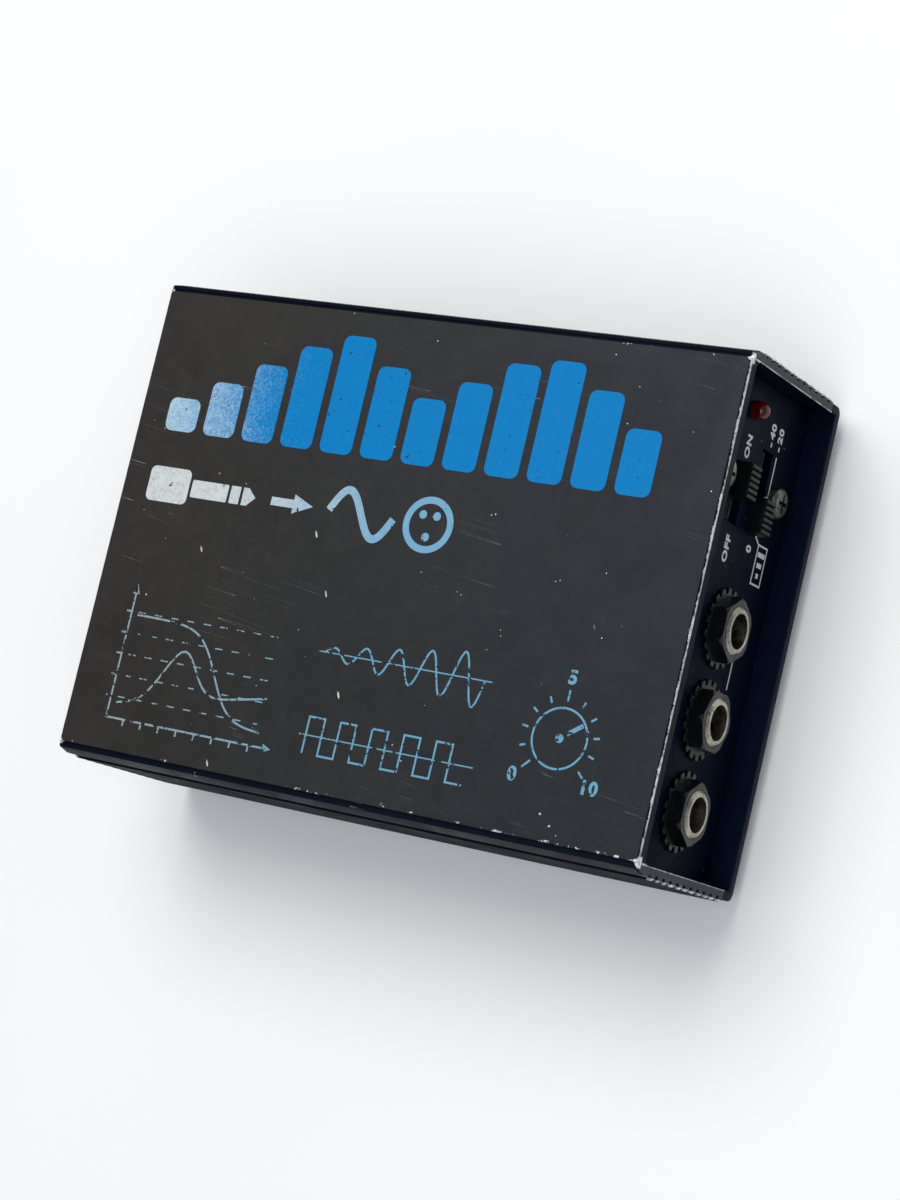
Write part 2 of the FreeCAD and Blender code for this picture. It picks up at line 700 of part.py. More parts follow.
def ridged_outline(y, z):
    """The knob seen from above: straight sides and a crest of ridges across its end."""
    crest = PANEL_FRONT + KNOB_REACH
    root = crest - RIDGE_DEPTH
    pitch = KNOB_LENGTH / KNOB_RIDGES
    land = pitch * RIDGE_LAND_SHARE
    points = [V(CARRIAGE_FRONT - CARRIAGE_DEPTH / 2, y - KNOB_LENGTH / 2, z)]
    for ridge in range(KNOB_RIDGES):
        centre = y - KNOB_LENGTH / 2 + (ridge + 0.5) * pitch
        points.append(V(root, centre - pitch / 2, z))
        points.append(V(crest, centre - land, z))
        points.append(V(crest, centre + land, z))
    points.append(V(root, y + KNOB_LENGTH / 2, z))
    points.append(V(CARRIAGE_FRONT - CARRIAGE_DEPTH / 2, y + KNOB_LENGTH / 2, z))
    return points


def switch_knob(y, z, positions, resting_step):
    """The ridged knob with its stem and the wider carriage inside the can."""
    rest_y = y + (resting_step - (positions - 1) / 2) * SWITCH_STEP
    outline = ridged_outline(rest_y, z - KNOB_HEIGHT / 2)
    grip = prism(outline, V(0, 0, KNOB_HEIGHT))
    carriage = box((CARRIAGE_FRONT - CARRIAGE_DEPTH, CARRIAGE_FRONT), around(rest_y, CARRIAGE_LENGTH),
                   around(z, CARRIAGE_HEIGHT))
    return fuse([grip, carriage])


def switch_board(end):
    """The small board behind one end's two switches."""
    screw_y, low_y, high_y = SWITCH_GROUPS[end]
    depth = (SWITCH_BOARD_BACK, SWITCH_BOARD_FRONT)
    board = box(depth, (low_y, high_y), (SWITCH_BOARD_LOW, SWITCH_BOARD_HIGH))
    through = (SWITCH_BOARD_BACK - GROOVE_OVERCUT, SWITCH_BOARD_FRONT + GROOVE_OVERCUT)
    size = TERMINAL_SIZE + 2 * SPIGOT_GAP
    for _, switch_end, y, drop, positions, _ in SWITCHES:
        if switch_end == end:
            for along, level in terminal_spots(y, CASE_TOP - drop, positions):
                board = board.cut(box(through, around(along, size), around(level, size)))
    for drop in (UPPER_SCREW_DROP, LOWER_SCREW_DROP):
        spot = V(through[0], screw_y, CASE_TOP - drop)
        board = board.cut(rod(SPIGOT_RADIUS + SPIGOT_GAP, spot, spot + OUTWARD * (through[1] - through[0])))
    if end == "input":
        for lead_y in around(LED_Y, LED_LEAD_SPACING):
            spot = V(through[0], lead_y, CASE_TOP - UPPER_ROW_DROP)
            reach = OUTWARD * (through[1] - through[0])
            board = board.cut(rod(LED_LEAD_RADIUS + SPIGOT_GAP, spot, spot + reach))
    return at_end(board, end)


def switch_spacers():
    """Threaded pillars between each panel and its switch board, with spigots through the board."""
    pillars = []
    for end, (screw_y, _, _) in SWITCH_GROUPS.items():
        for drop in (UPPER_SCREW_DROP, LOWER_SCREW_DROP):
            back = V(SWITCH_BOARD_FRONT, screw_y, CASE_TOP - drop)
            face = V(PANEL_BACK, screw_y, CASE_TOP - drop)
            tail = V(SWITCH_BOARD_BACK - SPIGOT_TAIL, screw_y, CASE_TOP - drop)
            pillar = fuse([rod(SPACER_RADIUS, back, face), rod(SPIGOT_RADIUS, tail, face)])
            bottom = back + OUTWARD * SWITCH_BOARD_THICKNESS / 2
            pillars.append(at_end(pillar.cut(rod(TAPPED_RADIUS, bottom, face)), end))
    return group(pillars)


def switch_screws():
    """The screws seen on both panels, above and below each pair of switches."""
    length = PANEL_FRONT - SWITCH_BOARD_FRONT - SWITCH_BOARD_THICKNESS
    screws = []
    for end, (screw_y, _, _) in SWITCH_GROUPS.items():
        for drop in (UPPER_SCREW_DROP, LOWER_SCREW_DROP):
            spot = V(PANEL_FRONT, screw_y, CASE_TOP - drop)
            screws.append(at_end(aim(pan_screw(length), spot, OUTWARD), end))
    return group(screws)


# ---- Indicator ----
def status_led():
    """A domed lens with a flange behind the panel."""
    z = CASE_TOP - UPPER_ROW_DROP
    back = V(PANEL_BACK - LED_FLANGE_DEPTH, LED_Y, z)
    dome_centre = V(PANEL_FRONT + LED_REACH - LED_RADIUS, LED_Y, z)
    body = rod(LED_RADIUS, back, dome_centre)
    flange = rod(LED_FLANGE_RADIUS, back, V(PANEL_BACK - FIT_GAP, LED_Y, z))
    return fuse([body, flange, Part.makeSphere(LED_RADIUS, dome_centre)])


def led_leads():
    """Two straight leads from the lens to the switch board."""
    z = CASE_TOP - UPPER_ROW_DROP
    leads = []
    for y in around(LED_Y, LED_LEAD_SPACING):
        start = V(SWITCH_BOARD_BACK - TERMINAL_TAIL, y, z)
        leads.append(rod(LED_LEAD_RADIUS, start, V(PANEL_BACK - LED_FLANGE_DEPTH, y, z)))
    return group(leads)


# ---- Jack sockets ----
def jack_bushing(y):
    """The threaded, flanged metal sleeve that the plug goes through."""
    front = V(BUSHING_FRONT, y, JACK_Z)
    back = V(BUSHING_BACK, y, JACK_Z)
    sleeve = rod(BUSHING_RADIUS, back, front)
    rim = [edge for edge in sleeve.Edges if edge.BoundBox.XMin > BUSHING_FRONT - FIT_GAP]
    sleeve = sleeve.makeChamfer(BUSHING_BEVEL, rim)
    flange_front = V(PANEL_BACK - FIT_GAP, y, JACK_Z)
    flange = rod(BUSHING_FLANGE_RADIUS, flange_front - OUTWARD * BUSHING_FLANGE_DEPTH, flange_front)
    solid = fuse([sleeve, flange]).cut(rod(JACK_BORE_RADIUS, back, front))
    groove_x = BUSHING_FRONT - BUSHING_BEVEL - THREAD_PITCH / 2
    while groove_x > PANEL_FRONT:
        outline = [V(groove_x - THREAD_PITCH / 2, y, JACK_Z + BUSHING_RADIUS + FIT_GAP),
                   V(groove_x, y, JACK_Z + BUSHING_RADIUS - THREAD_DEPTH),
                   V(groove_x + THREAD_PITCH / 2, y, JACK_Z + BUSHING_RADIUS + FIT_GAP)]
        solid = solid.cut(revolve(outline, front, OUTWARD))
        groove_x -= THREAD_PITCH
    return solid


def jack_body(y):
    """The moulded body: a bore for the plug, a seat for the bushing and two contact windows."""
    depth = (JACK_BODY_BACK, JACK_BODY_FRONT)
    body = round_box(depth, around(y, JACK_BODY_SIZE), around(JACK_Z, JACK_BODY_SIZE), JACK_BODY_EDGE, "x")
    axis_back = V(JACK_BODY_BACK - GROOVE_OVERCUT, y, JACK_Z)
    body = body.cut(rod(JACK_BODY_BORE, axis_back, V(CASE_END, y, JACK_Z)))
    seat = V(BUSHING_BACK - FIT_GAP, y, JACK_Z)
    body = body.cut(rod(BUSHING_RADIUS + FIT_GAP, seat, V(CASE_END, y, JACK_Z)))
    flange_seat = V(PANEL_BACK - BUSHING_FLANGE_DEPTH - 2 * FIT_GAP, y, JACK_Z)
    body = body.cut(rod(BUSHING_FLANGE_RADIUS + FIT_GAP, flange_seat, V(CASE_END, y, JACK_Z)))
    window_depth = (JACK_BODY_BACK - GROOVE_OVERCUT, BUSHING_BACK - JACK_WINDOW_END)
    for side in (-1, 1):
        reach = sorted((JACK_Z + side * JACK_WINDOW_FLOOR, JACK_Z + side * JACK_BODY_SIZE))
        body = body.cut(box(window_depth, around(y, JACK_WINDOW_WIDTH), reach))
    return body


def leaf_contact(y, side, dip):
    """A leaf spring along a window, with a V towards the bore near its free end and a solder lug."""
    fixed_x = BUSHING_BACK - JACK_WINDOW_END - FIT_GAP
    tail_x = JACK_BODY_BACK - CONTACT_LUG
    dip_x = JACK_BODY_BACK + CONTACT_LUG
    centre_line = [(fixed_x, CONTACT_OFFSET), (dip_x + CONTACT_LUG, CONTACT_OFFSET),
                   (dip_x, CONTACT_OFFSET - dip), (JACK_BODY_BACK, CONTACT_OFFSET), (tail_x, CONTACT_OFFSET)]
    outer = [V(x, y - CONTACT_WIDTH / 2, JACK_Z + side * (z + CONTACT_THICKNESS / 2)) for x, z in centre_line]
    inner = [V(x, y - CONTACT_WIDTH / 2, JACK_Z + side * (z - CONTACT_THICKNESS / 2)) for x, z in centre_line]
    return prism(outer + list(reversed(inner)), V(0, CONTACT_WIDTH, 0))


def jack_contacts(y):
    """The tip contact above the bore and the sleeve contact below it."""
    return group([leaf_contact(y, 1, CONTACT_DIP), leaf_contact(y, -1, SLEEVE_DIP)])


def jack_nuts():
    """The hex nuts on the three bushings."""
    nuts = []
    corner_radius = NUT_FLATS / math.sqrt(3)
    x = PANEL_FRONT + WASHER_THICKNESS
    for number in range(len(JACK_NAMES)):
        y = -number * JACK_PITCH
        points = []
        for corner in range(6):
            angle = math.radians(60 * corner + 30 * (number % 2))
            points.append(V(x, y + corner_radius * math.cos(angle), JACK_Z + corner_radius * math.sin(angle)))
        blank = prism(points, V(NUT_THICKNESS, 0, 0))
        turned = rod(corner_radius, V(x, y, JACK_Z), V(x + NUT_THICKNESS, y, JACK_Z))
        rim = [edge for edge in turned.Edges if edge.BoundBox.XMin > x + NUT_THICKNESS - FIT_GAP]
        blank = blank.common(turned.makeChamfer(NUT_BEVEL, rim))
        bore = rod(BUSHING_RADIUS + FIT_GAP, V(x - GROOVE_OVERCUT, y, JACK_Z), V(CASE_END, y, JACK_Z))
        nuts.append(blank.cut(bore))
    return group(nuts)


def star_washer(y):
    """An external-tooth lock washer."""
    points = []
    for tooth in range(WASHER_TEETH):
        for share, radius in ((0, WASHER_ROOT_RADIUS), (WASHER_FLANK_SHARE, WASHER_TIP_RADIUS),
                              (WASHER_TOOTH_SHARE, WASHER_TIP_RADIUS),
                              (WASHER_TOOTH_SHARE + WASHER_FLANK_SHARE, WASHER_ROOT_RADIUS)):
            angle = 2 * math.pi * (tooth + share) / WASHER_TEETH
            points.append(V(PANEL_FRONT, y + radius * math.cos(angle), JACK_Z + radius * math.sin(angle)))
    disc = prism(points, V(WASHER_THICKNESS, 0, 0))
    start = V(PANEL_FRONT - GROOVE_OVERCUT, y, JACK_Z)
    return disc.cut(rod(BUSHING_RADIUS + FIT_GAP, start, V(CASE_END, y, JACK_Z)))


def jack_washers():
    """The washers under the three nuts."""
    return group([star_washer(-number * JACK_PITCH) for number in range(len(JACK_NAMES))])


# ---- Balanced output socket, built in place at -X ----
def xlr_shell():
    """The flanged barrel of the three-pin socket."""
    flange_back = -PANEL_FRONT
    flange_front = flange_back - XLR_FLANGE_THICKNESS
    flange = round_box((flange_front, flange_back), around(XLR_Y, XLR_FLANGE_WIDTH),
                       around(XLR_Z, XLR_FLANGE_HEIGHT), XLR_FLANGE_CORNER, "x")
    barrel = rod(XLR_BARREL_RADIUS, V(XLR_FRONT, XLR_Y, XLR_Z), V(XLR_FRONT + XLR_DEPTH, XLR_Y, XLR_Z))
    rim = [edge for edge in barrel.Edges if edge.BoundBox.XMax < XLR_FRONT + FIT_GAP]
    barrel = barrel.makeFillet(XLR_RIM / 2, rim)
    solid = fuse([flange, barrel])
    mouth = V(XLR_FRONT - GROOVE_OVERCUT, XLR_Y, XLR_Z)
    solid = solid.cut(rod(XLR_SOCKET_RADIUS, mouth, V(XLR_FRONT + XLR_DEPTH + GROOVE_OVERCUT, XLR_Y, XLR_Z)))
    for y, z in xlr_screw_spots():
        spot = V(-CASE_END, -y, z)
        solid = solid.cut(rod(CLEAR_RADIUS, spot, spot + OUTWARD * RECESS))
    return solid


def xlr_pin_spots():
    """The three pins' places round the socket's axis."""
    spots = []
    for angle in XLR_PIN_ANGLES:
        turn = math.radians(angle)
        spots.append((XLR_Y + XLR_PIN_CIRCLE * math.cos(turn), XLR_Z + XLR_PIN_CIRCLE * math.sin(turn)))
    return spots


def xlr_insert():
    """The insulator at the bottom of the socket."""
    front = V(XLR_FRONT + XLR_INSERT_INSET, XLR_Y, XLR_Z)
    disc = rod(XLR_SOCKET_RADIUS - FIT_GAP, front, front + OUTWARD * XLR_INSERT_DEPTH)
    for y, z in xlr_pin_spots():
        start = V(front.x - GROOVE_OVERCUT, y, z)
        disc = disc.cut(rod(XLR_PIN_RADIUS + FIT_GAP, start, start + OUTWARD * XLR_DEPTH))
    return disc


def xlr_pins():
    """Three round-nosed pins with solder tails."""
    pins = []
    for y, z in xlr_pin_spots():
        tip = V(XLR_FRONT + XLR_PIN_INSET, y, z)
        tail = V(XLR_FRONT + XLR_DEPTH + XLR_PIN_TAIL, y, z)
        pin = rod(XLR_PIN_RADIUS, tip, tail)
        nose = [edge for edge in pin.Edges if edge.BoundBox.XMax < tip.x + FIT_GAP]
        pins.append(pin.makeFillet(XLR_PIN_ROUNDING, nose))
    return group(pins)


def xlr_screws():
    """Two screws at opposite corners of the socket's flange."""
    screws = []
    for y, z in xlr_screw_spots():
        spot = V(-PANEL_FRONT - XLR_FLANGE_THICKNESS, -y, z)
        screws.append(aim(pan_screw(XLR_SCREW_LENGTH), spot, INWARD))
    return group(screws)


# ---- Battery ----
def battery():
    """The 9 V block."""
    return round_box(around(BATTERY_X, BATTERY_LENGTH), around(BATTERY_Y, BATTERY_WIDTH),
                     (BATTERY_BOTTOM, BATTERY_BOTTOM + BATTERY_HEIGHT), BATTERY_EDGE, "x")


def battery_terminals():
    """The two snap terminals on the block's end."""
    end_x = BATTERY_X + BATTERY_LENGTH / 2
    level = BATTERY_BOTTOM + BATTERY_HEIGHT / 2
    studs = []
    for y in around(BATTERY_Y, STUD_SPACING):
        start = V(end_x, y, level)
        studs.append(rod(STUD_RADIUS, start, start + OUTWARD * STUD_LENGTH))
    return group(studs)


def battery_snap():
    """The moulded connector that covers the terminals."""
    near = BATTERY_X + BATTERY_LENGTH / 2 + STUD_LENGTH
    level = BATTERY_BOTTOM + BATTERY_HEIGHT / 2
    return round_box((near, near + SNAP_THICKNESS), around(BATTERY_Y, SNAP_LENGTH),
                     around(level, SNAP_HEIGHT), SNAP_CORNER, "x")


def battery_clip():
    """A sprung U-shaped clip riveted to the floor."""
    span = around(BATTERY_X, CLIP_WIDTH)
    inner = BATTERY_WIDTH + 2 * CLIP_GAP
    outer = inner + 2 * CLIP_THICKNESS
    block = box(span, around(BATTERY_Y, outer), (FLOOR, FLOOR + CLIP_SIDE_HEIGHT))
    hollow = box((span[0] - GROOVE_OVERCUT, span[1] + GROOVE_OVERCUT), around(BATTERY_Y, inner),
                 (FLOOR + CLIP_THICKNESS, CASE_TOP))
    clip = block.cut(hollow)
    for x in around(BATTERY_X, RIVET_SPACING):
        clip = clip.cut(rod(RIVET_RADIUS + FIT_GAP, V(x, BATTERY_Y, 0), V(x, BATTERY_Y, CASE_TOP)))
    return clip


def battery_rivets():
    """Two rivets that hold the clip."""
    rivets = []
    for x in around(BATTERY_X, RIVET_SPACING):
        seat = V(x, BATTERY_Y, FLOOR + CLIP_THICKNESS)
        shank = rod(RIVET_RADIUS, V(x, BATTERY_Y, FOOT_HEIGHT + FIT_GAP), seat)
        rivets.append(fuse([shank, rod(RIVET_HEAD_RADIUS, seat, seat + UP * RIVET_HEAD_HEIGHT)]))
    return group(rivets)


def battery_pad():
    """The foam pad between clip and block, holed for the rivet heads."""
    level = FLOOR + CLIP_THICKNESS
    pad = box(around(BATTERY_X, CLIP_WIDTH), around(BATTERY_Y, BATTERY_WIDTH), (level, level + PAD_THICKNESS))
    for x in around(BATTERY_X, RIVET_SPACING):
        hole = rod(RIVET_HEAD_RADIUS + FIT_GAP, V(x, BATTERY_Y, FLOOR), V(x, BATTERY_Y, CASE_TOP))
        pad = pad.cut(hole)
    return pad


def battery_leads():
    """Two leads from the snap connector to the main board."""
    snap_x = BATTERY_X + BATTERY_LENGTH / 2 + STUD_LENGTH + SNAP_THICKNESS / 2
    snap_y = BATTERY_Y - SNAP_LENGTH / 2
    level = BATTERY_BOTTOM + BATTERY_HEIGHT / 2
    leads = []
    for side, landing_y in LEAD_LANDINGS:
        z = level + side * LEAD_OFFSET_Z
        x = snap_x + side * LEAD_OFFSET_X
        route = [V(x, snap_y, z), V(x, landing_y, z), V(x, landing_y, BOARD_TOP)]
        leads.append(wire_tube(route, LEAD_RADIUS))
    return group(leads)


# ---- Main board ----
def main_board():
    """The board under the jacks, with holes for its four screws."""
    board = box((-BOARD_X, BOARD_X), (BOARD_LOW_Y, BOARD_HIGH_Y), (BOARD_BOTTOM, BOARD_TOP))
    for x, y in STANDOFF_SPOTS:
        board = board.cut(rod(CLEAR_RADIUS, V(x, y, FLOOR), V(x, y, CASE_TOP)))
    return board


def board_standoffs():
    """Four hexagonal pillars pressed into the bottom cover."""
    pillars = []
    corner_radius = STANDOFF_FLATS / math.sqrt(3)
    for x, y in STANDOFF_SPOTS:
        points = []
        for corner in range(6):
            angle = math.radians(60 * corner)
            points.append(V(x + corner_radius * math.cos(angle), y + corner_radius * math.sin(angle), FLOOR))
        spigot = rod(SPIGOT_RADIUS, V(x, y, FOOT_HEIGHT + SPIGOT_TAIL), V(x, y, BOARD_BOTTOM))
        pillar = fuse([prism(points, UP * STANDOFF_HEIGHT), spigot])
        pillars.append(pillar.cut(rod(TAPPED_RADIUS, V(x, y, FLOOR + FIT_GAP), V(x, y, CASE_TOP))))
    return group(pillars)


def board_screws():
    """Four pan-head screws that hold the board down."""
    return group([aim(pan_screw(BOARD_SCREW_LENGTH), V(x, y, BOARD_TOP), UP) for x, y in STANDOFF_SPOTS])


def electrolytic_capacitors():
    """Upright cans with a rolled groove near the foot."""
    cans = []
    for x, y, radius, height in ELECTROLYTICS:
        foot = V(x, y, BOARD_TOP)
        can = rod(radius, foot, foot + UP * height)
        rim = [edge for edge in can.Edges if edge.BoundBox.ZMin > BOARD_TOP + height - FIT_GAP]
        can = can.makeFillet(CAN_RIM_ROUNDING, rim)
        groove = Part.makeTorus(radius + CAN_GROOVE_RADIUS / 2, CAN_GROOVE_RADIUS, foot + UP * radius / 2, UP)
        cans.append(can.cut(groove))
    return group(cans)


def film_capacitors():
    """Small upright boxes."""
    blocks = []
    for x, y in FILM_CAPACITORS:
        level = (BOARD_TOP, BOARD_TOP + FILM_HEIGHT)
        blocks.append(round_box(around(x, FILM_LENGTH), around(y, FILM_DEPTH), level, FILM_CORNER, "z"))
    return group(blocks)


def op_amps():
    """Two eight-leg chips."""
    solids = []
    for x, y in OP_AMPS:
        level = (BOARD_TOP + OP_AMP_LIFT, BOARD_TOP + OP_AMP_LIFT + OP_AMP_HEIGHT)
        parts = [box(around(x, OP_AMP_LENGTH), around(y, OP_AMP_WIDTH), level)]
        leg_z = (BOARD_TOP, BOARD_TOP + OP_AMP_LIFT + OP_AMP_HEIGHT / 2)
        for leg in range(OP_AMP_LEGS):
            leg_x = x + (leg - (OP_AMP_LEGS - 1) / 2) * LEG_PITCH
            for side in (-1, 1):
                leg_y = y + side * (OP_AMP_WIDTH + LEG_THICKNESS) / 2
                parts.append(box(around(leg_x, LEG_WIDTH), around(leg_y, LEG_THICKNESS), leg_z))
        solids.append(fuse(parts))
    return group(solids)


def transistors():
    """Half-round transistors on three legs."""
    solids = []
    for x, y in TRANSISTORS:
        foot = V(x, y, BOARD_TOP + TRANSISTOR_LIFT)
        body = rod(TRANSISTOR_RADIUS, foot, foot + UP * TRANSISTOR_HEIGHT)
        flat = box(around(x, 3 * TRANSISTOR_RADIUS), (y + TRANSISTOR_FLAT, y + 2 * TRANSISTOR_RADIUS),
                   (BOARD_TOP, CASE_TOP))
        parts = [body.cut(flat)]
        for leg in (-1, 0, 1):
            leg_x = x + leg * LEG_PITCH / 2
            parts.append(box(around(leg_x, LEG_WIDTH), around(y, LEG_WIDTH),
                             (BOARD_TOP, BOARD_TOP + TRANSISTOR_LIFT + LEG_WIDTH)))
        solids.append(fuse(parts))
    return group(solids)


def resistors():
    """Axial resistors with their leads bent down to the board."""
    solids = []
    for x, y in RESISTORS:
        axis_z = BOARD_TOP + RESISTOR_RADIUS + RESISTOR_LIFT
        left, right = around(x, RESISTOR_SPAN)
        body_left, body_right = around(x, RESISTOR_LENGTH)
        body = rod(RESISTOR_RADIUS, V(body_left, y, axis_z), V(body_right, y, axis_z))
        body = body.makeFillet(RESISTOR_RADIUS / 2, [e for e in body.Edges if e.BoundBox.XLength < FIT_GAP])
        route = [V(left, y, BOARD_TOP), V(left, y, axis_z), V(right, y, axis_z), V(right, y, BOARD_TOP)]
        solids.append(fuse([body, wire_tube(route, COMPONENT_LEAD_RADIUS)]))
    return group(solids)


def jack_wires():
    """Wires from the jacks' solder lugs down to the board."""
    wires = []
    lug_x = JACK_BODY_BACK - CONTACT_LUG
    for number in range(len(JACK_NAMES)):
        y = -number * JACK_PITCH
        for side, run in JACK_WIRE_RUNS:
            z = JACK_Z + side * CONTACT_OFFSET
            route = [V(lug_x, y, z), V(lug_x - run, y, z), V(lug_x - run, y, BOARD_TOP)]
            wires.append(wire_tube(route, WIRE_RADIUS))
    return wires


def xlr_wires():
    """Wires from the output socket's tails to the board, each on its own line."""
    wires = []
    tail_x = XLR_FRONT + XLR_DEPTH + XLR_PIN_TAIL
    for (y, z), (run, landing_y) in zip(xlr_pin_spots(), XLR_WIRE_RUNS):
        x = tail_x + run
        route = [V(tail_x, y, z), V(x, y, z), V(x, landing_y, z), V(x, landing_y, BOARD_TOP)]
        wires.append(wire_tube(route, WIRE_RADIUS))
    return wires


def switch_wires():
    """Wires from the two switch boards to the main board."""
    wires = []
    level = BOARD_TOP + SWITCH_WIRE_LIFT
    for number in range(SWITCH_WIRES):
        shift = SWITCH_WIRE_PITCH * number
        y = SWITCH_GROUPS["input"][1] + INPUT_WIRE_EDGE + shift
        x = BOARD_X - INPUT_WIRE_INSET - shift
        landing = V(x, SWITCH_WIRE_LANDING, level)
        route = [V(SWITCH_BOARD_BACK, y, level), V(x, y, level), landing, V(x, landing.y, BOARD_TOP)]
        wires.append(wire_tube(route, WIRE_RADIUS))
        y = -SWITCH_GROUPS["output"][2] + OUTPUT_WIRE_EDGE + shift
        x = -SWITCH_BOARD_BACK + OUTPUT_WIRE_RUN
        route = [V(-SWITCH_BOARD_BACK, y, level), V(x, y, level), V(x, y, BOARD_TOP)]
        wires.append(wire_tube(route, WIRE_RADIUS))
    return wires


def hookup_wires():
    """All the loose wires that end on the main board."""
    return group(jack_wires() + xlr_wires() + switch_wires())


# ---- Every node ----
def all_nodes():
    """The finished solids by node name."""
    nodes = {
        "case_cover": case_cover(),
        "bottom_cover": bottom_cover(),
        "cover_screws": cover_screws(),
        "rubber_feet": rubber_feet(),
        "foot_screws": foot_screws(),
        "input_panel": input_panel(),
        "output_panel": output_panel(),
        "input_switch_board": switch_board("input"),
        "output_switch_board": switch_board("output"),
        "switch_spacers": switch_spacers(),
        "switch_screws": switch_screws(),
        "status_led": status_led(),
        "led_leads": led_leads(),
        "jack_nuts": jack_nuts(),
        "jack_washers": jack_washers(),
        "xlr_shell": xlr_shell(),
        "xlr_insert": xlr_insert(),
        "xlr_pins": xlr_pins(),
        "xlr_screws": xlr_screws(),
        "battery": battery(),
        "battery_terminals": battery_terminals(),
        "battery_snap": battery_snap(),
        "battery_clip": battery_clip(),
        "battery_rivets": battery_rivets(),
        "battery_pad": battery_pad(),
        "battery_leads": battery_leads(),
        "main_board": main_board(),
        "board_standoffs": board_standoffs(),
        "board_screws": board_screws(),
        "electrolytic_capacitors": electrolytic_capacitors(),
        "film_capacitors": film_capacitors(),
        "op_amps": op_amps(),
        "transistors": transistors(),
        "resistors": resistors(),
        "hookup_wires": hookup_wires(),
    }
    switch_pins = []
    for name, end, y, drop, positions, resting_step in SWITCHES:
        z = CASE_TOP - drop
        nodes[name + "_switch_can"] = at_end(switch_can(y, z, positions), end)
        nodes[name + "_switch_base"] = at_end(switch_base(y, z, positions), end)
        nodes[name + "_knob"] = at_end(switch_knob(y, z, positions, resting_step), end)
        switch_pins += [at_end(pin, end) for pin in terminals(y, z, positions)]
    nodes["switch_terminals"] = group(switch_pins)
    for number, name in enumerate(JACK_NAMES):
        y = -number * JACK_PITCH
        nodes[name + "_jack_bushing"] = jack_bushing(y)
        nodes[name + "_jack_body"] = jack_body(y)
        nodes[name + "_jack_contacts"] = jack_contacts(y)
    return nodes


os.makedirs("parts", exist_ok=True)
for node, shape in all_nodes().items():
    shape.exportStep("parts/" + node + ".step")
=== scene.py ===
import json
import math

import bmesh
import bpy
from mathutils import Matrix, Vector


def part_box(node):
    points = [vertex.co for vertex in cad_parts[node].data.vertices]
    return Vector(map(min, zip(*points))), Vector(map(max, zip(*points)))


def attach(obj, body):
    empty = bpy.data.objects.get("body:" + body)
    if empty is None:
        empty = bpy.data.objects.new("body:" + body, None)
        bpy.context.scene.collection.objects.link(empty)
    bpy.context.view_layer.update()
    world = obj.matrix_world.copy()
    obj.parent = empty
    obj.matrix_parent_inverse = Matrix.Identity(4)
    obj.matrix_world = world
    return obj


# Looks of a direct injection box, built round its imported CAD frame. Metres, +Z up.
# The jack sockets are at +X and the balanced output at -X.

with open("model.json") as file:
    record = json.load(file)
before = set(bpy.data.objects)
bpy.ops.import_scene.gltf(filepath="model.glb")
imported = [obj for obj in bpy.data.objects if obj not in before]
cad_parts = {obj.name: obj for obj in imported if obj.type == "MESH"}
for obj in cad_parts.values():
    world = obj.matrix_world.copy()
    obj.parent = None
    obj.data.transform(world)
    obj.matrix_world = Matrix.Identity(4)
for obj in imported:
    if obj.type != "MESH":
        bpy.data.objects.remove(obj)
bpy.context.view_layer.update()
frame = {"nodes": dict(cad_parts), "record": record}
MM = 0.001
BODY = "housing"

# ---- Places read from the frame ----
COVER_HIGH = Vector(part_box("case_cover")[1])
PANEL_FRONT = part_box("input_panel")[1][0]
OUTPUT_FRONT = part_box("output_panel")[0][0]
TOP = COVER_HIGH.z
END = COVER_HIGH.x
SIDE = COVER_HIGH.y
TOP_EDGE_Y = SIDE - 2.4 * MM    # where the flat of the top plate meets the shoulder
INNER_WALL = SIDE - 2.3 * MM    # the side wall's inner face


def centre_of(node):
    """The middle of a CAD node's box."""
    low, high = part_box(node)
    return (Vector(low) + Vector(high)) / 2


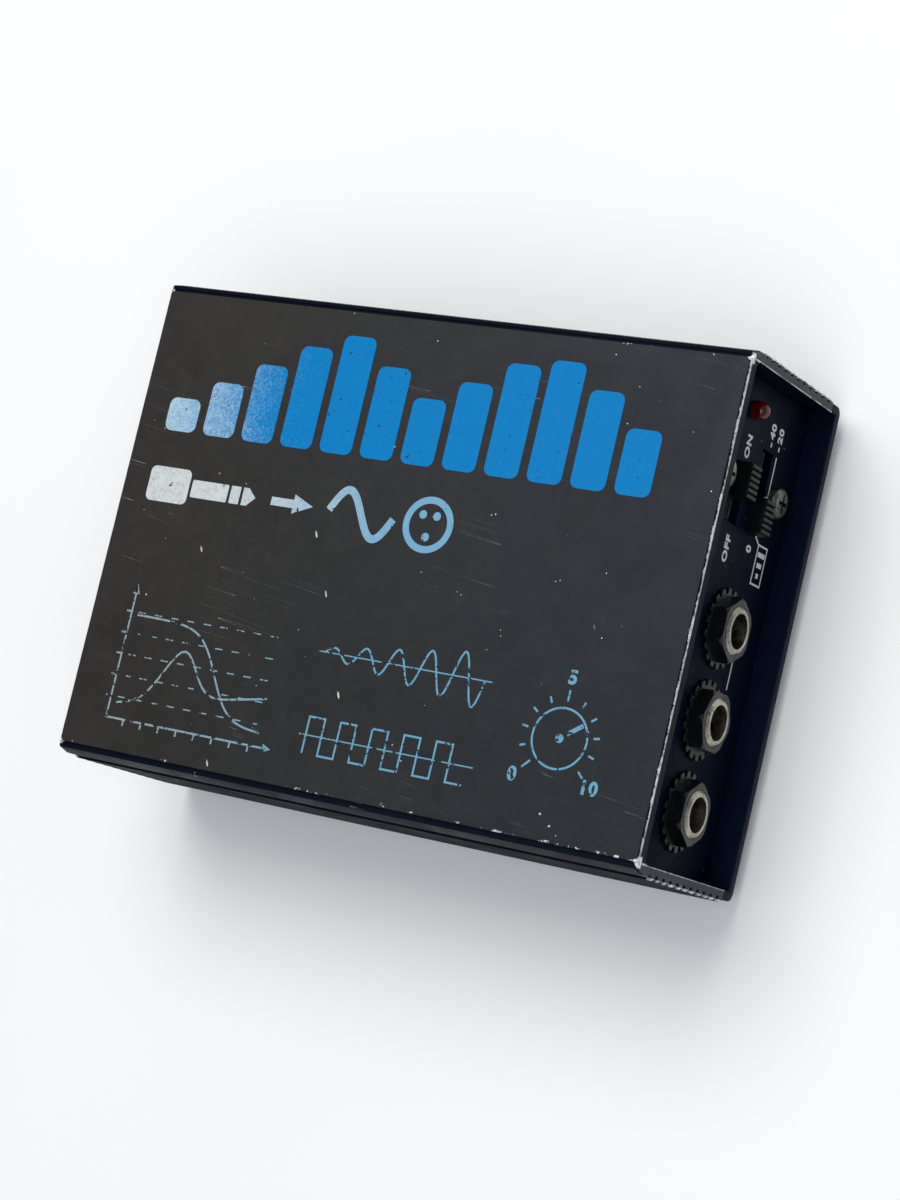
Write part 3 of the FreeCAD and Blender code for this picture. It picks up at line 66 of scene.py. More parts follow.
# ======================================================================= Materials
class Finish:
    """A small wrapper round one procedural material and its node tree."""

    def __init__(self, name):
        self.material = bpy.data.materials.new(name)
        self.material.use_nodes = True
        self.tree = self.material.node_tree
        self.tree.nodes.clear()
        self.output = self.tree.nodes.new("ShaderNodeOutputMaterial")
        self.place = self.tree.nodes.new("ShaderNodeTexCoord").outputs["Object"]

    def link(self, source, socket):
        """Join a value, colour or socket to an input."""
        if isinstance(source, bpy.types.NodeSocket):
            self.tree.links.new(source, socket)
        elif isinstance(source, (tuple, list)) and len(source) == 3 and len(socket.default_value) == 4:
            socket.default_value = (*source, 1.0)
        else:
            socket.default_value = source

    def math(self, operation, first, second=0.0, clamp=False):
        node = self.tree.nodes.new("ShaderNodeMath")
        node.operation = operation
        node.use_clamp = clamp
        self.link(first, node.inputs[0])
        self.link(second, node.inputs[1])
        return node.outputs[0]

    def scaled(self, factors):
        """Object coordinates stretched by a factor on each axis."""
        node = self.tree.nodes.new("ShaderNodeMapping")
        self.link(self.place, node.inputs["Vector"])
        node.inputs["Scale"].default_value = factors
        return node.outputs[0]

    def turned(self, angle, factors):
        """Object coordinates turned about Z and then stretched."""
        node = self.tree.nodes.new("ShaderNodeMapping")
        node.vector_type = "TEXTURE"
        self.link(self.place, node.inputs["Vector"])
        node.inputs["Rotation"].default_value = (0, 0, angle)
        node.inputs["Scale"].default_value = tuple(1 / factor for factor in factors)
        return node.outputs[0]

    def axes(self):
        node = self.tree.nodes.new("ShaderNodeSeparateXYZ")
        self.link(self.place, node.inputs[0])
        return node.outputs

    def noise(self, per_metre, detail=3.0, roughness=0.55, where=None, distortion=0.0):
        node = self.tree.nodes.new("ShaderNodeTexNoise")
        self.link(where or self.place, node.inputs["Vector"])
        node.inputs["Scale"].default_value = per_metre
        node.inputs["Detail"].default_value = detail
        node.inputs["Roughness"].default_value = roughness
        node.inputs["Distortion"].default_value = distortion
        return node.outputs["Fac"]

    def cells(self, per_metre, where=None, feature="F1"):
        node = self.tree.nodes.new("ShaderNodeTexVoronoi")
        node.feature = feature
        self.link(where or self.place, node.inputs["Vector"])
        node.inputs["Scale"].default_value = per_metre
        return node.outputs["Distance"]

    def ramp(self, value, low, high, low_out=0.0, high_out=1.0):
        """Map low..high to low_out..high_out smoothly, clamped."""
        node = self.tree.nodes.new("ShaderNodeMapRange")
        node.interpolation_type = "SMOOTHSTEP"
        self.link(value, node.inputs["Value"])
        node.inputs["From Min"].default_value = low
        node.inputs["From Max"].default_value = high
        node.inputs["To Min"].default_value = low_out
        node.inputs["To Max"].default_value = high_out
        return node.outputs[0]

    def band(self, value, centre, half_width, soft):
        """1 where value is within half_width of centre, falling off over soft."""
        distance = self.math("ABSOLUTE", self.math("SUBTRACT", value, centre))
        return self.ramp(distance, half_width, half_width + soft, 1.0, 0.0)

    def both(self, first, second):
        return self.math("MULTIPLY", first, second, clamp=True)

    def either(self, first, second):
        return self.math("MAXIMUM", first, second, clamp=True)

    def mix(self, factor, first, second):
        node = self.tree.nodes.new("ShaderNodeMix")
        node.data_type = "RGBA"
        self.link(factor, node.inputs["Factor"])
        self.link(first, node.inputs[6])
        self.link(second, node.inputs[7])
        return node.outputs[2]

    def bump(self, height, strength, distance, before=None):
        node = self.tree.nodes.new("ShaderNodeBump")
        self.link(height, node.inputs["Height"])
        node.inputs["Strength"].default_value = strength
        node.inputs["Distance"].default_value = distance
        if before is not None:
            self.link(before, node.inputs["Normal"])
        return node.outputs[0]

    def surface(self, color, roughness, metallic=0.0, normal=None, **fixed):
        """A principled shader; fixed values go straight onto its sockets."""
        node = self.tree.nodes.new("ShaderNodeBsdfPrincipled")
        self.link(color, node.inputs["Base Color"])
        self.link(roughness, node.inputs["Roughness"])
        self.link(metallic, node.inputs["Metallic"])
        if normal is not None:
            self.link(normal, node.inputs["Normal"])
        for socket, value in fixed.items():
            node.inputs[socket.replace("_", " ")].default_value = value
        return node.outputs[0]

    def blend(self, factor, first, second):
        """Two finished shaders, mixed."""
        node = self.tree.nodes.new("ShaderNodeMixShader")
        self.link(factor, node.inputs[0])
        self.tree.links.new(first, node.inputs[1])
        self.tree.links.new(second, node.inputs[2])
        return node.outputs[0]

    def done(self, shader):
        self.tree.links.new(shader, self.output.inputs["Surface"])
        return self.material


BARE_METAL = (0.74, 0.75, 0.78)
# PLATE_DUST is dust in the lit plate's tone; SIDE_DUST is dust darkened to match the painted shade on the
# sides
PLATE_DUST = (0.036, 0.039, 0.043)
SIDE_DUST = (0.007, 0.012, 0.021)


def satin_paint(f, dark, light, wear, specular, dust_tone=SIDE_DUST):
    """Baked satin paint with a fine grain, faint smears, and bare metal where wear is 1."""
    smear = f.ramp(f.noise(24, 4, 0.6, distortion=0.6), 0.25, 0.8)
    blotch = f.ramp(f.noise(150, 5, 0.7, distortion=1.2), 0.35, 0.7)
    color = f.mix(f.math("MULTIPLY", f.math("ADD", smear, blotch), 0.5), dark, light)
    dust = f.ramp(f.noise(1300, 2, 0.7), 0.62, 0.8, 0.0, 0.30)
    color = f.mix(dust, color, dust_tone)
    dull_metal = tuple(0.3 * c for c in BARE_METAL)
    metal_tone = f.mix(f.ramp(f.noise(900, 3, 0.7), 0.3, 0.6), dull_metal, BARE_METAL)
    color = f.mix(wear, color, metal_tone)
    roughness = f.ramp(f.noise(70, 5, 0.65, distortion=0.8), 0.3, 0.7, 0.40, 0.56)
    roughness = f.math("SUBTRACT", roughness, f.math("MULTIPLY", wear, 0.10))
    normal = f.bump(f.noise(2600, 3, 0.65), 0.25, 0.06 * MM)
    normal = f.bump(wear, 0.35, -0.08 * MM, normal)
    return f.surface(color, roughness, f.math("MULTIPLY", wear, 0.45), normal, Specular_IOR_Level=specular)


def chips(f, per_metre, size, rarity):
    """Sparse irregular chips: small cells, kept where a second pattern is rare."""
    wobble = f.math("MULTIPLY", f.math("SUBTRACT", f.noise(2400, 2), 0.5), 0.16)
    spot = f.math("ADD", f.cells(per_metre), wobble)
    keep = f.ramp(f.noise(per_metre * 0.37, 1), rarity, rarity + 0.03)
    return f.both(f.ramp(spot, size, size + 0.02, 1.0, 0.0), keep)


SCRATCH_ANGLE = math.radians(82)
SCRATCH_LEVEL = 0.61


def scratches(f, angle, across, along, level):
    """Thin straight scratches at one angle, broken by a slower pattern."""
    lines = f.noise(1.0, 1, 0.4, f.turned(angle, (across, along, across)))
    broken = f.ramp(f.noise(60, 2), 0.56, 0.64, 0.0, 0.45)
    half_width = 0.0010
    softness = 0.0012
    return f.both(f.band(lines, level, half_width, softness), broken)


def nicks(f, angle, per_metre, rarity):
    """Short bright dashes, a few times longer than wide, kept where a second pattern is rare."""
    dashes = f.cells(1.0, f.turned(angle, (2.6 * per_metre, 0.7 * per_metre, per_metre)))
    keep = f.ramp(f.noise(per_metre * 0.31, 1), rarity, rarity + 0.03)
    return f.both(f.ramp(dashes, 0.05, 0.09, 1.0, 0.0), keep)


def cover_wear(f):
    """Where the case cover's paint is rubbed through: end rims, corners, long edges and rib crests; the
    light line along each wall's inner end edge is partly wear and partly a painted highlight.
    """
    x, y, z = f.axes()
    from_end = f.math("SUBTRACT", END, f.math("ABSOLUTE", x))
    from_axis = f.math("ABSOLUTE", y)
    slow = f.noise(110, 3, 0.6)
    rough = f.noise(520, 4, 0.7)
    fine = f.noise(2200, 3, 0.7)

    # a ragged distance, which keeps every worn border uneven
    ragged = f.math("ADD", f.math("MULTIPLY", f.math("SUBTRACT", rough, 0.5), 0.5 * MM),
                    f.math("MULTIPLY", f.math("SUBTRACT", fine, 0.5), 0.4 * MM))
    ragged = f.math("ADD", ragged, f.math("MULTIPLY", f.math("SUBTRACT", slow, 0.5), 0.6 * MM))

    # the top plate's rim at both open ends
    upper = f.ramp(z, TOP - 0.7 * MM, TOP - 0.4 * MM)
    rim = f.ramp(f.math("SUBTRACT", from_end, ragged), 0.15 * MM, 0.23 * MM, 1.0, 0.0)
    rim = f.both(f.both(rim, upper), f.ramp(slow, 0.3, 0.62, 0.5, 1.0))

    # knocks along the plate's long edges, more of them on the -Y edge and toward +X
    edge_gap = f.math("SUBTRACT", TOP_EDGE_Y, from_axis)
    long_edge = f.band(edge_gap, 0.15 * MM, 0.14 * MM, 0.16 * MM)
    on_plate = f.ramp(z, TOP - 0.6 * MM, TOP - 0.2 * MM)
    long_edge = f.both(f.both(long_edge, on_plate), f.ramp(rough, 0.575, 0.59))
    knocks = f.both(f.ramp(x, -10 * MM, 30 * MM, 0.50, 0.42), f.ramp(y, -20 * MM, 20 * MM, 1.0, 1.3))
    long_edge = f.both(long_edge, f.ramp(f.math("SUBTRACT", slow, knocks), 0.0, 0.03))

    # small bare patches at the plate's corners
    corner_reach = f.math("ADD", f.math("ABSOLUTE", edge_gap), from_end)
    reach = f.math("SUBTRACT", corner_reach, f.math("MULTIPLY", ragged, 2.2))
    reach = f.math("ADD", reach, f.ramp(y, -20 * MM, 20 * MM, 0.0, 0.35 * MM))
    corner = f.ramp(reach, 0.9 * MM, 1.2 * MM, 1.0, 0.0)
    corner = f.both(corner, f.ramp(z, TOP - 1.6 * MM, TOP - 1.2 * MM))

    # the ribs' ends, and the inner corner of each side wall's end, whose light line is partly wear and
    # partly a painted highlight
    crest = f.both(f.ramp(from_axis, SIDE - 0.5 * MM, SIDE - 0.3 * MM),
                   f.ramp(from_end, 0.3 * MM, 1.0 * MM, 1.0, 0.0))
    crest = f.both(crest, f.ramp(rough, 0.34, 0.54, 0.3, 1.0))
    # partly a painted highlight: a light line along the inner edge of each wall's end
    inner = f.both(f.band(from_axis, INNER_WALL, 0.12 * MM, 0.1 * MM),
                   f.ramp(from_end, 0.1 * MM, 0.2 * MM, 1.0, 0.0))
    inner = f.both(inner, f.ramp(rough, 0.3, 0.6, 0.15, 0.75))
    worn = f.either(f.either(rim, long_edge), f.either(crest, inner))
    worn = f.either(worn, corner)

    # specks and nicks over the whole cover, scratches on the top plate alone
    specks = f.either(chips(f, 230, 0.035, 0.58), chips(f, 620, 0.06, 0.63))
    specks = f.either(specks, nicks(f, math.radians(24), 150, 0.60))
    lines = scratches(f, SCRATCH_ANGLE, 900, 12, SCRATCH_LEVEL)
    lines = f.both(lines, f.ramp(z, TOP - 0.5 * MM, TOP - 0.1 * MM))
    return f.either(worn, f.either(specks, lines))


def case_paint():
    """Charcoal on the top plate and the walls' ends; the darker navy down the sides and inside is painted
    shade, a shaded copy of the same paint.
    """
    f = Finish("case_paint")
    x, y, z = f.axes()
    wear = cover_wear(f)
    # painted light: the paint runs warmer toward -X and bluer toward +X, the colour of the light falling
    # along the case
    painted_light_tint = f.ramp(x, -END, END)
    dark = f.mix(painted_light_tint, (0.0118, 0.0112, 0.0104), (0.0036, 0.0080, 0.0135))
    light = f.mix(painted_light_tint, (0.0196, 0.0176, 0.0152), (0.0060, 0.0118, 0.0185))
    # the top plate and the walls' end faces take the lit copy of the paint, everything else the
    # painted-shade copy
    above = f.ramp(z, TOP - 0.16 * MM, TOP - 0.06 * MM)
    from_end = f.math("SUBTRACT", END, f.math("ABSOLUTE", x))
    end_face = f.ramp(from_end, 0.1 * MM, 0.3 * MM, 1.0, 0.0)
    end_face = f.both(end_face, f.ramp(f.math("ABSOLUTE", y), INNER_WALL - 0.2 * MM, INNER_WALL))
    grime = f.ramp(f.noise(210, 6, 0.75, distortion=1.6), 0.46, 0.66, 0.0, 0.8)
    light = f.mix(grime, light, f.mix(painted_light_tint, (0.0320, 0.0250, 0.0195), (0.0150, 0.0185, 0.0220)))
    shade = f.ramp(f.noise(95, 5, 0.7, distortion=1.0), 0.50, 0.66, 0.0, 0.55)
    dark = f.mix(shade, dark, (0.0045, 0.0042, 0.0040))
    # the lit copy of the paint, on the top plate and the walls' end faces
    lit_top_paint = satin_paint(f, dark, light, wear, 0.27, PLATE_DUST)
    # painted shade: a darker, bluer copy of the paint down the sides and inside, where less light falls
    shaded_side_paint = satin_paint(f, (0.0010, 0.0026, 0.0082), (0.0022, 0.0045, 0.0125), wear, 0.05)
    return f.done(f.blend(f.either(above, end_face), shaded_side_paint, lit_top_paint))


def bottom_paint():
    f = Finish("bottom_paint")
    wear = f.either(chips(f, 320, 0.04, 0.62), scratches(f, math.radians(12), 700, 9, 0.6))
    return f.done(satin_paint(f, (0.0014, 0.0034, 0.0122), (0.0030, 0.0064, 0.0205), wear, 0.06))


def panel_paint():
    f = Finish("panel_paint")
    wear = f.either(chips(f, 420, 0.04, 0.62), chips(f, 900, 0.07, 0.68))
    return f.done(satin_paint(f, (0.0006, 0.0023, 0.0086), (0.0012, 0.0043, 0.0138), wear, 0.03))


def plated(name, dark, light, roughness, grain, tarnish=None):
    """Plated or bare metal with brushed grain, fingerprints and darker tarnish."""
    f = Finish(name)
    cloud = f.noise(260, 4, 0.65, distortion=0.4)
    color = f.mix(f.ramp(cloud, 0.3, 0.7), dark, light)
    if tarnish:
        color = f.mix(f.ramp(f.noise(620, 4, 0.7), 0.52, 0.72), color, tarnish)
    rough = f.ramp(f.noise(420, 3), 0.25, 0.75, roughness * 0.75, roughness * 1.3)
    normal = f.bump(f.noise(grain, 3, 0.7), 0.3, 0.04 * MM)
    return f.done(f.surface(color, rough, 1.0, normal))


def nickel():
    return plated("nickel", (0.24, 0.23, 0.185), (0.50, 0.49, 0.42), 0.30, 1900, (0.10, 0.09, 0.06))


def screw_steel():
    return plated("screw_steel", (0.050, 0.054, 0.046), (0.20, 0.205, 0.175), 0.38, 2600,
                  (0.012, 0.014, 0.011))


def tinned_steel():
    return plated("tinned_steel", (0.40, 0.41, 0.42), (0.63, 0.64, 0.64), 0.36, 1500)


def contact_metal():
    return plated("contact_metal", (0.50, 0.36, 0.17), (0.72, 0.58, 0.33), 0.32, 1700, (0.25, 0.16, 0.08))


def pin_silver():
    return plated("pin_silver", (0.62, 0.61, 0.57), (0.84, 0.83, 0.80), 0.20, 2200)


def blackened(name, tone):
    """Black oxide over steel: dark, half metallic, with rubbed lighter patches."""
    f = Finish(name)
    rubbed = f.ramp(f.noise(900, 4, 0.7), 0.60, 0.80)
    color = f.mix(rubbed, tone, tuple(4.0 * c + 0.008 for c in tone))
    rough = f.ramp(f.noise(500, 3), 0.25, 0.75, 0.26, 0.44)
    normal = f.bump(f.noise(2400, 3, 0.7), 0.3, 0.04 * MM)
    return f.done(f.surface(color, rough, 0.35, normal))


def black_steel():
    return blackened("black_steel", (0.004, 0.0055, 0.008))


def black_screw():
    return blackened("black_screw", (0.016, 0.016, 0.017))


def socket_metal():
    return blackened("socket_metal", (0.02, 0.02, 0.022))


def moulded(name, tone, roughness, grain=2300, speck=None, specular=0.5):
    """Moulded plastic: fine spark texture, slightly mottled, polished where rubbed."""
    f = Finish(name)
    mottle = f.ramp(f.noise(300, 3, 0.6), 0.3, 0.7)
    color = f.mix(mottle, tone, tuple(1.5 * c + 0.002 for c in tone))
    if speck:
        color = f.mix(f.ramp(f.noise(1300, 2, 0.8), 0.62, 0.72), color, speck)
    rough = f.ramp(f.noise(380, 3), 0.25, 0.75, roughness * 0.8, roughness * 1.2)
    normal = f.bump(f.noise(grain, 3, 0.7), 0.28, 0.05 * MM)
    return f.done(f.surface(color, rough, 0.0, normal, Specular_IOR_Level=specular))


def black_plastic():
    return moulded("black_plastic", (0.0024, 0.0028, 0.0042), 0.34, specular=0.14)


def chip_plastic():
    return moulded("chip_plastic", (0.018, 0.018, 0.019), 0.5)


def phenolic():
    return moulded("phenolic", (0.10, 0.05, 0.022), 0.55, 1400, (0.2, 0.12, 0.06))


def foot_rubber():
    return moulded("foot_rubber", (0.014, 0.014, 0.014), 0.78, 1600, (0.05, 0.05, 0.048))


def board_green():
    f = Finish("board_green")
    weave = f.noise(1.0, 1, 0.4, f.scaled((900, 900, 900)))
    tracks = f.ramp(f.cells(160, f.scaled((1, 1, 0.2)), "DISTANCE_TO_EDGE"), 0.06, 0.09, 1.0, 0.0)
    color = f.mix(weave, (0.008, 0.06, 0.028), (0.014, 0.085, 0.04))
    color = f.mix(tracks, color, (0.02, 0.14, 0.06))
    normal = f.bump(tracks, 0.4, 0.05 * MM)
    return f.done(f.surface(color, 0.3, 0.0, normal, Coat_Weight=0.5, Coat_Roughness=0.15))


def battery_case():
    f = Finish("battery_case")
    x = f.axes()[0]
    band_edge = centre_of("battery").x + 10 * MM
    band = f.ramp(x, band_edge, band_edge + 0.2 * MM)
    color = f.mix(band, (0.34, 0.35, 0.36), (0.05, 0.06, 0.08))
    color = f.mix(f.ramp(f.noise(500, 4, 0.7), 0.62, 0.72, 0.0, 0.5), color, (0.3, 0.3, 0.3))
    rough = f.ramp(f.noise(300, 3), 0.3, 0.7, 0.28, 0.42)
    return f.done(f.surface(color, rough, 0.35, f.bump(f.noise(900, 2), 0.2, 0.05 * MM)))


def foam():
    f = Finish("foam")
    pores = f.cells(1500)
    color = f.mix(pores, (0.02, 0.02, 0.021), (0.07, 0.07, 0.072))
    return f.done(f.surface(color, 0.95, 0.0, f.bump(pores, 0.9, 0.3 * MM)))


def wire_pvc():
    f = Finish("wire_pvc")
    lots = f.ramp(f.noise(90, 1), 0.45, 0.55)
    color = f.mix(lots, (0.30, 0.02, 0.015), (0.02, 0.025, 0.03))
    rough = f.ramp(f.noise(700, 2), 0.3, 0.7, 0.35, 0.5)
    return f.done(f.surface(color, rough, 0.0, f.bump(f.noise(1500, 2), 0.2, 0.04 * MM)))


def sleeve(name, tone, stripe):
    """A shrink sleeve or dipped coating with a paler printed stripe."""
    f = Finish(name)
    lines = f.ramp(f.noise(1.0, 0, 0.4, f.scaled((420, 420, 12))), 0.62, 0.64)
    color = f.mix(lines, f.mix(f.noise(300), tone, tuple(1.6 * c for c in tone)), stripe)
    rough = f.ramp(f.noise(500, 2), 0.3, 0.7, 0.2, 0.34)
    return f.done(f.surface(color, rough, 0.0, f.bump(f.noise(1100, 2), 0.2, 0.05 * MM)))


def capacitor_sleeve():
    return sleeve("capacitor_sleeve", (0.012, 0.02, 0.075), (0.4, 0.42, 0.45))


def capacitor_resin():
    return sleeve("capacitor_resin", (0.22, 0.035, 0.012), (0.28, 0.06, 0.03))


def resistor_lacquer():
    f = Finish("resistor_lacquer")
    bands = f.noise(1.0, 0, 0.3, f.scaled((900, 3, 3)))
    color = f.mix(f.ramp(bands, 0.55, 0.57), (0.45, 0.34, 0.18), (0.22, 0.04, 0.02))
    color = f.mix(f.ramp(bands, 0.42, 0.44, 1.0, 0.0), color, (0.05, 0.03, 0.02))
    return f.done(f.surface(color, f.ramp(f.noise(600), 0.3, 0.7, 0.3, 0.45), 0.0))


def red_lens():
    """Dark red diffused epoxy, a little lighter in its depth."""
    f = Finish("red_lens")
    depth = f.ramp(f.noise(500, 3), 0.3, 0.7)
    color = f.mix(depth, (0.045, 0.001, 0.002), (0.115, 0.003, 0.004))
    rough = f.ramp(f.noise(900, 3), 0.3, 0.7, 0.08, 0.15)
    normal = f.bump(f.noise(1500, 2), 0.12, 0.03 * MM)
    return f.done(f.surface(color, rough, 0.0, normal, IOR=1.4, Coat_Weight=0.12))


PAINTS = {
    "case_paint": case_paint, "panel_paint": panel_paint, "screw_steel": screw_steel,
    "black_screw": black_screw, "foot_rubber": foot_rubber, "black_steel": black_steel, "nickel": nickel,
    "black_plastic": black_plastic, "chip_plastic": chip_plastic, "phenolic": phenolic,
    "tinned_steel": tinned_steel, "contact_metal": contact_metal, "socket_metal": socket_metal,
    "pin_silver": pin_silver, "red_lens": red_lens, "board_green": board_green,
    "battery_case": battery_case, "foam": foam, "wire_pvc": wire_pvc,
    "capacitor_sleeve": capacitor_sleeve, "capacitor_resin": capacitor_resin,
    "resistor_lacquer": resistor_lacquer,
}


def paint_cad_nodes():
    """Give every carried-over CAD node the finish of its record slot."""
    made = {slot: build() for slot, build in PAINTS.items()}
    slots = {entry["node"]: entry["material_slot"] for entry in frame["record"]["subparts"]}
    for node, piece in frame["nodes"].items():
        piece.data.materials.clear()
        piece.data.materials.append(made[slots[node]])
    underside = frame["nodes"]["bottom_cover"]
    underside.data.materials.clear()
    underside.data.materials.append(bottom_paint())


SHARP_ANGLE = math.radians(28)


def soften_edges(node, width, segments=2):
    """Round a CAD node's sharp edges for the eye, without touching its own mesh."""
    piece = frame["nodes"][node]
    weld = piece.modifiers.new("weld", "WELD")
    weld.merge_threshold = 0.002 * MM
    bevel = piece.modifiers.new("soft_edges", "BEVEL")
    bevel.width = width
    bevel.segments = segments
    bevel.limit_method = "ANGLE"
    bevel.angle_limit = SHARP_ANGLE
    bevel.use_clamp_overlap = True
    shade = piece.modifiers.new("even_shading", "WEIGHTED_NORMAL")
    shade.keep_sharp = False


# ======================================================================= Prints
WORN_THROUGH = (0.021, 0.021, 0.023)


def ink(name, near, far, start, end, wear_level, metallic=0.0, fade=0.0):
    """Printed ink whose colour shades from one colour to another along X, a painted reflection of bright
    light over the left of the plate, and is worn through in places.
    """
    f = Finish(name)
    x = f.axes()[0]
    drift = f.math("ADD", x, f.math("MULTIPLY", f.noise(60, 3), 0.012))
    grain = f.math("MULTIPLY", f.math("SUBTRACT", f.noise(2100, 3, 0.8), 0.5), 0.05)
    # painted reflection: the colour shades from near to far along X for bright light reflected on the
    # plate's left
    tone = f.mix(f.ramp(f.math("ADD", drift, grain), start, end), near, far)
    dull = f.math("MULTIPLY", f.ramp(f.noise(1500, 3, 0.8), 0.45, 0.7, 0.0, 0.5),
                  f.ramp(drift, start, end, 1.0, 0.1))
    tone = f.mix(dull, tone, tuple(0.45 * c for c in near))
    rubbed = f.math("ADD", f.noise(620, 4, 0.72), f.ramp(drift, -END, end, fade, 0.0))
    gone = f.ramp(rubbed, wear_level, wear_level + 0.02)
    gone = f.either(gone, chips(f, 420, 0.05, 0.62))
    gone = f.either(gone, scratches(f, SCRATCH_ANGLE, 900, 12, SCRATCH_LEVEL))
    color = f.mix(gone, tone, WORN_THROUGH)
    rough = f.ramp(f.noise(500, 3), 0.25, 0.75, 0.34, 0.5)
    shine = f.math("MULTIPLY", f.math("SUBTRACT", 1.0, gone), metallic)
    return f.done(f.surface(color, rough, shine, f.bump(f.noise(2400, 2), 0.2, 0.04 * MM),
                            Specular_IOR_Level=0.07))


class Print:
    """A flat design in millimetres, laid on a face as thin ink."""

    THICKNESS = 0.03 * MM
    LAYERS = 24                # shapes that overlap lie at slightly different heights
    STAGGER = 0.0005 * MM
    CORNER_STEPS = 5
    RING_STEPS = 40
    DISC_STEPS = 24
    LETTER_WEIGHT = 0.042

    def __init__(self):
        self.shapes = []

    def shape(self, points, faces=None):
        """Keep a shape: its points and the faces between them."""
        points = [Vector((point[0], point[1])) for point in points]
        self.shapes.append((points, faces or [tuple(range(len(points)))]))

    def block(self, left, right, low, high, radius=0.0):
        """A rectangle with rounded corners."""
        if not radius:
            self.shape([(left, low), (right, low), (right, high), (left, high)])
            return
        points = []
        centres = ((right - radius, low + radius, -90), (right - radius, high - radius, 0),
                   (left + radius, high - radius, 90), (left + radius, low + radius, 180))
        for x, y, start in centres:
            for step in range(self.CORNER_STEPS + 1):
                angle = math.radians(start + 90 * step / self.CORNER_STEPS)
                points.append((x + radius * math.cos(angle), y + radius * math.sin(angle)))
        self.shape(points)

    def stroke(self, points, width, closed=False):
        """A line of even width through points, mitred at its corners."""
        line = [Vector(point) for point in points]
        count = len(line)
        edges = []
        for number, point in enumerate(line):
            arrive = point - line[number - 1]
            leave = line[(number + 1) % count] - point
            if not closed and number == 0:
                arrive = leave
            if not closed and number == count - 1:
                leave = arrive
            first = Vector((-arrive.y, arrive.x)).normalized()
            second = Vector((-leave.y, leave.x)).normalized()
            across = (first + second).normalized()
            reach = width / 2 / max(0.35, across.dot(first))
            edges += [point + across * reach, point - across * reach]
        cells = [(2 * i, 2 * i + 1, 2 * i + 3, 2 * i + 2) for i in range(count - 1)]
        if closed:
            cells.append((2 * count - 2, 2 * count - 1, 1, 0))
        self.shape(edges, cells)

    def frame(self, left, right, low, high, width):
        self.stroke([(left, low), (right, low), (right, high), (left, high)], width, True)

    @staticmethod
    def circle(centre, radius, steps):
        points = []
        for step in range(steps):
            angle = 2 * math.pi * step / steps
            points.append((centre[0] + radius * math.cos(angle), centre[1] + radius * math.sin(angle)))
        return points

    def ring(self, centre, radius, width):
        self.stroke(self.circle(centre, radius, self.RING_STEPS), width, True)

    def disc(self, centre, radius):
        self.shape(self.circle(centre, radius, self.DISC_STEPS))

    def arrow(self, tip, direction, size):
        along = Vector(direction).normalized() * size
        across = Vector((-along.y, along.x)) * 0.42
        end = Vector(tip)
        self.shape([end, end - along + across, end - along - across])

    def text(self, words, centre, size):
        """Plain built-in lettering, thickened by a share of its size."""
        curve = bpy.data.curves.new("lettering", "FONT")
        curve.body = words
        curve.align_x = "CENTER"
        curve.align_y = "CENTER"
        curve.size = size
        curve.space_character = 1.12
        curve.space_word = 0.4
        curve.offset = self.LETTER_WEIGHT * size
        letters = bpy.data.objects.new("lettering", curve)
        mesh = bpy.data.meshes.new_from_object(letters)
        points = [(vertex.co.x + centre[0], vertex.co.y + centre[1]) for vertex in mesh.vertices]
        self.shape(points, [tuple(face.vertices) for face in mesh.polygons])
        bpy.data.objects.remove(letters)
        bpy.data.curves.remove(curve)
        bpy.data.meshes.remove(mesh)

    def lay(self, name, to_face, material):
        """Make the ink piece: to_face turns a flat point and a height into a place in metres."""
        shell = bmesh.new()
        for number, (points, faces) in enumerate(self.shapes):
            height = self.THICKNESS + number % self.LAYERS * self.STAGGER
            rise = to_face(Vector((0, 0)), height) - to_face(Vector((0, 0)), 0.0)
            corners = [shell.verts.new(to_face(point, 0.0)) for point in points]
            flat = [shell.faces.new([corners[i] for i in face]) for face in faces]
            raised = bmesh.ops.extrude_face_region(shell, geom=flat, use_keep_orig=True)["geom"]
            moved = [part for part in raised if isinstance(part, bmesh.types.BMVert)]
            bmesh.ops.translate(shell, vec=rise, verts=moved)
        bmesh.ops.recalc_face_normals(shell, faces=shell.faces)
        mesh = bpy.data.meshes.new(name)
        shell.to_mesh(mesh)
        shell.free()
        piece = bpy.data.objects.new(name, mesh)
        bpy.context.scene.collection.objects.link(piece)
        mesh.materials.append(material)
        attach(piece, BODY)


def on_top(point, height):
    """A flat point on the top plate, x along the case and y across it."""
    return Vector((point.x * MM, point.y * MM, TOP + height))


def on_input(point, height):
    """A flat point on the input panel: x runs along +Y and y is the height above the floor."""
    return Vector((PANEL_FRONT + height, point.x * MM, point.y * MM))


def on_output(point, height):
    """A flat point on the output panel: x runs along -Y and y is the height above the floor."""
    return Vector((OUTPUT_FRONT - height, -point.x * MM, point.y * MM))


# the silver tones start the inks' gradients along X, a painted reflection of bright light on the print
SILVER = (0.60, 0.64, 0.64)
SILVER_BLUE = (0.42, 0.58, 0.66)
BLUE = (0.0, 0.178, 0.46)
PANEL_WHITE = (0.50, 0.52, 0.53)
FINE_LINE = 0.38     # line widths in millimetres
HAIR_LINE = 0.24
PANEL_LINE = 0.35
WAVE_STEPS = 36      # points along one turn of a wave
CURVE_STEPS = 36     # points along a chart's curve


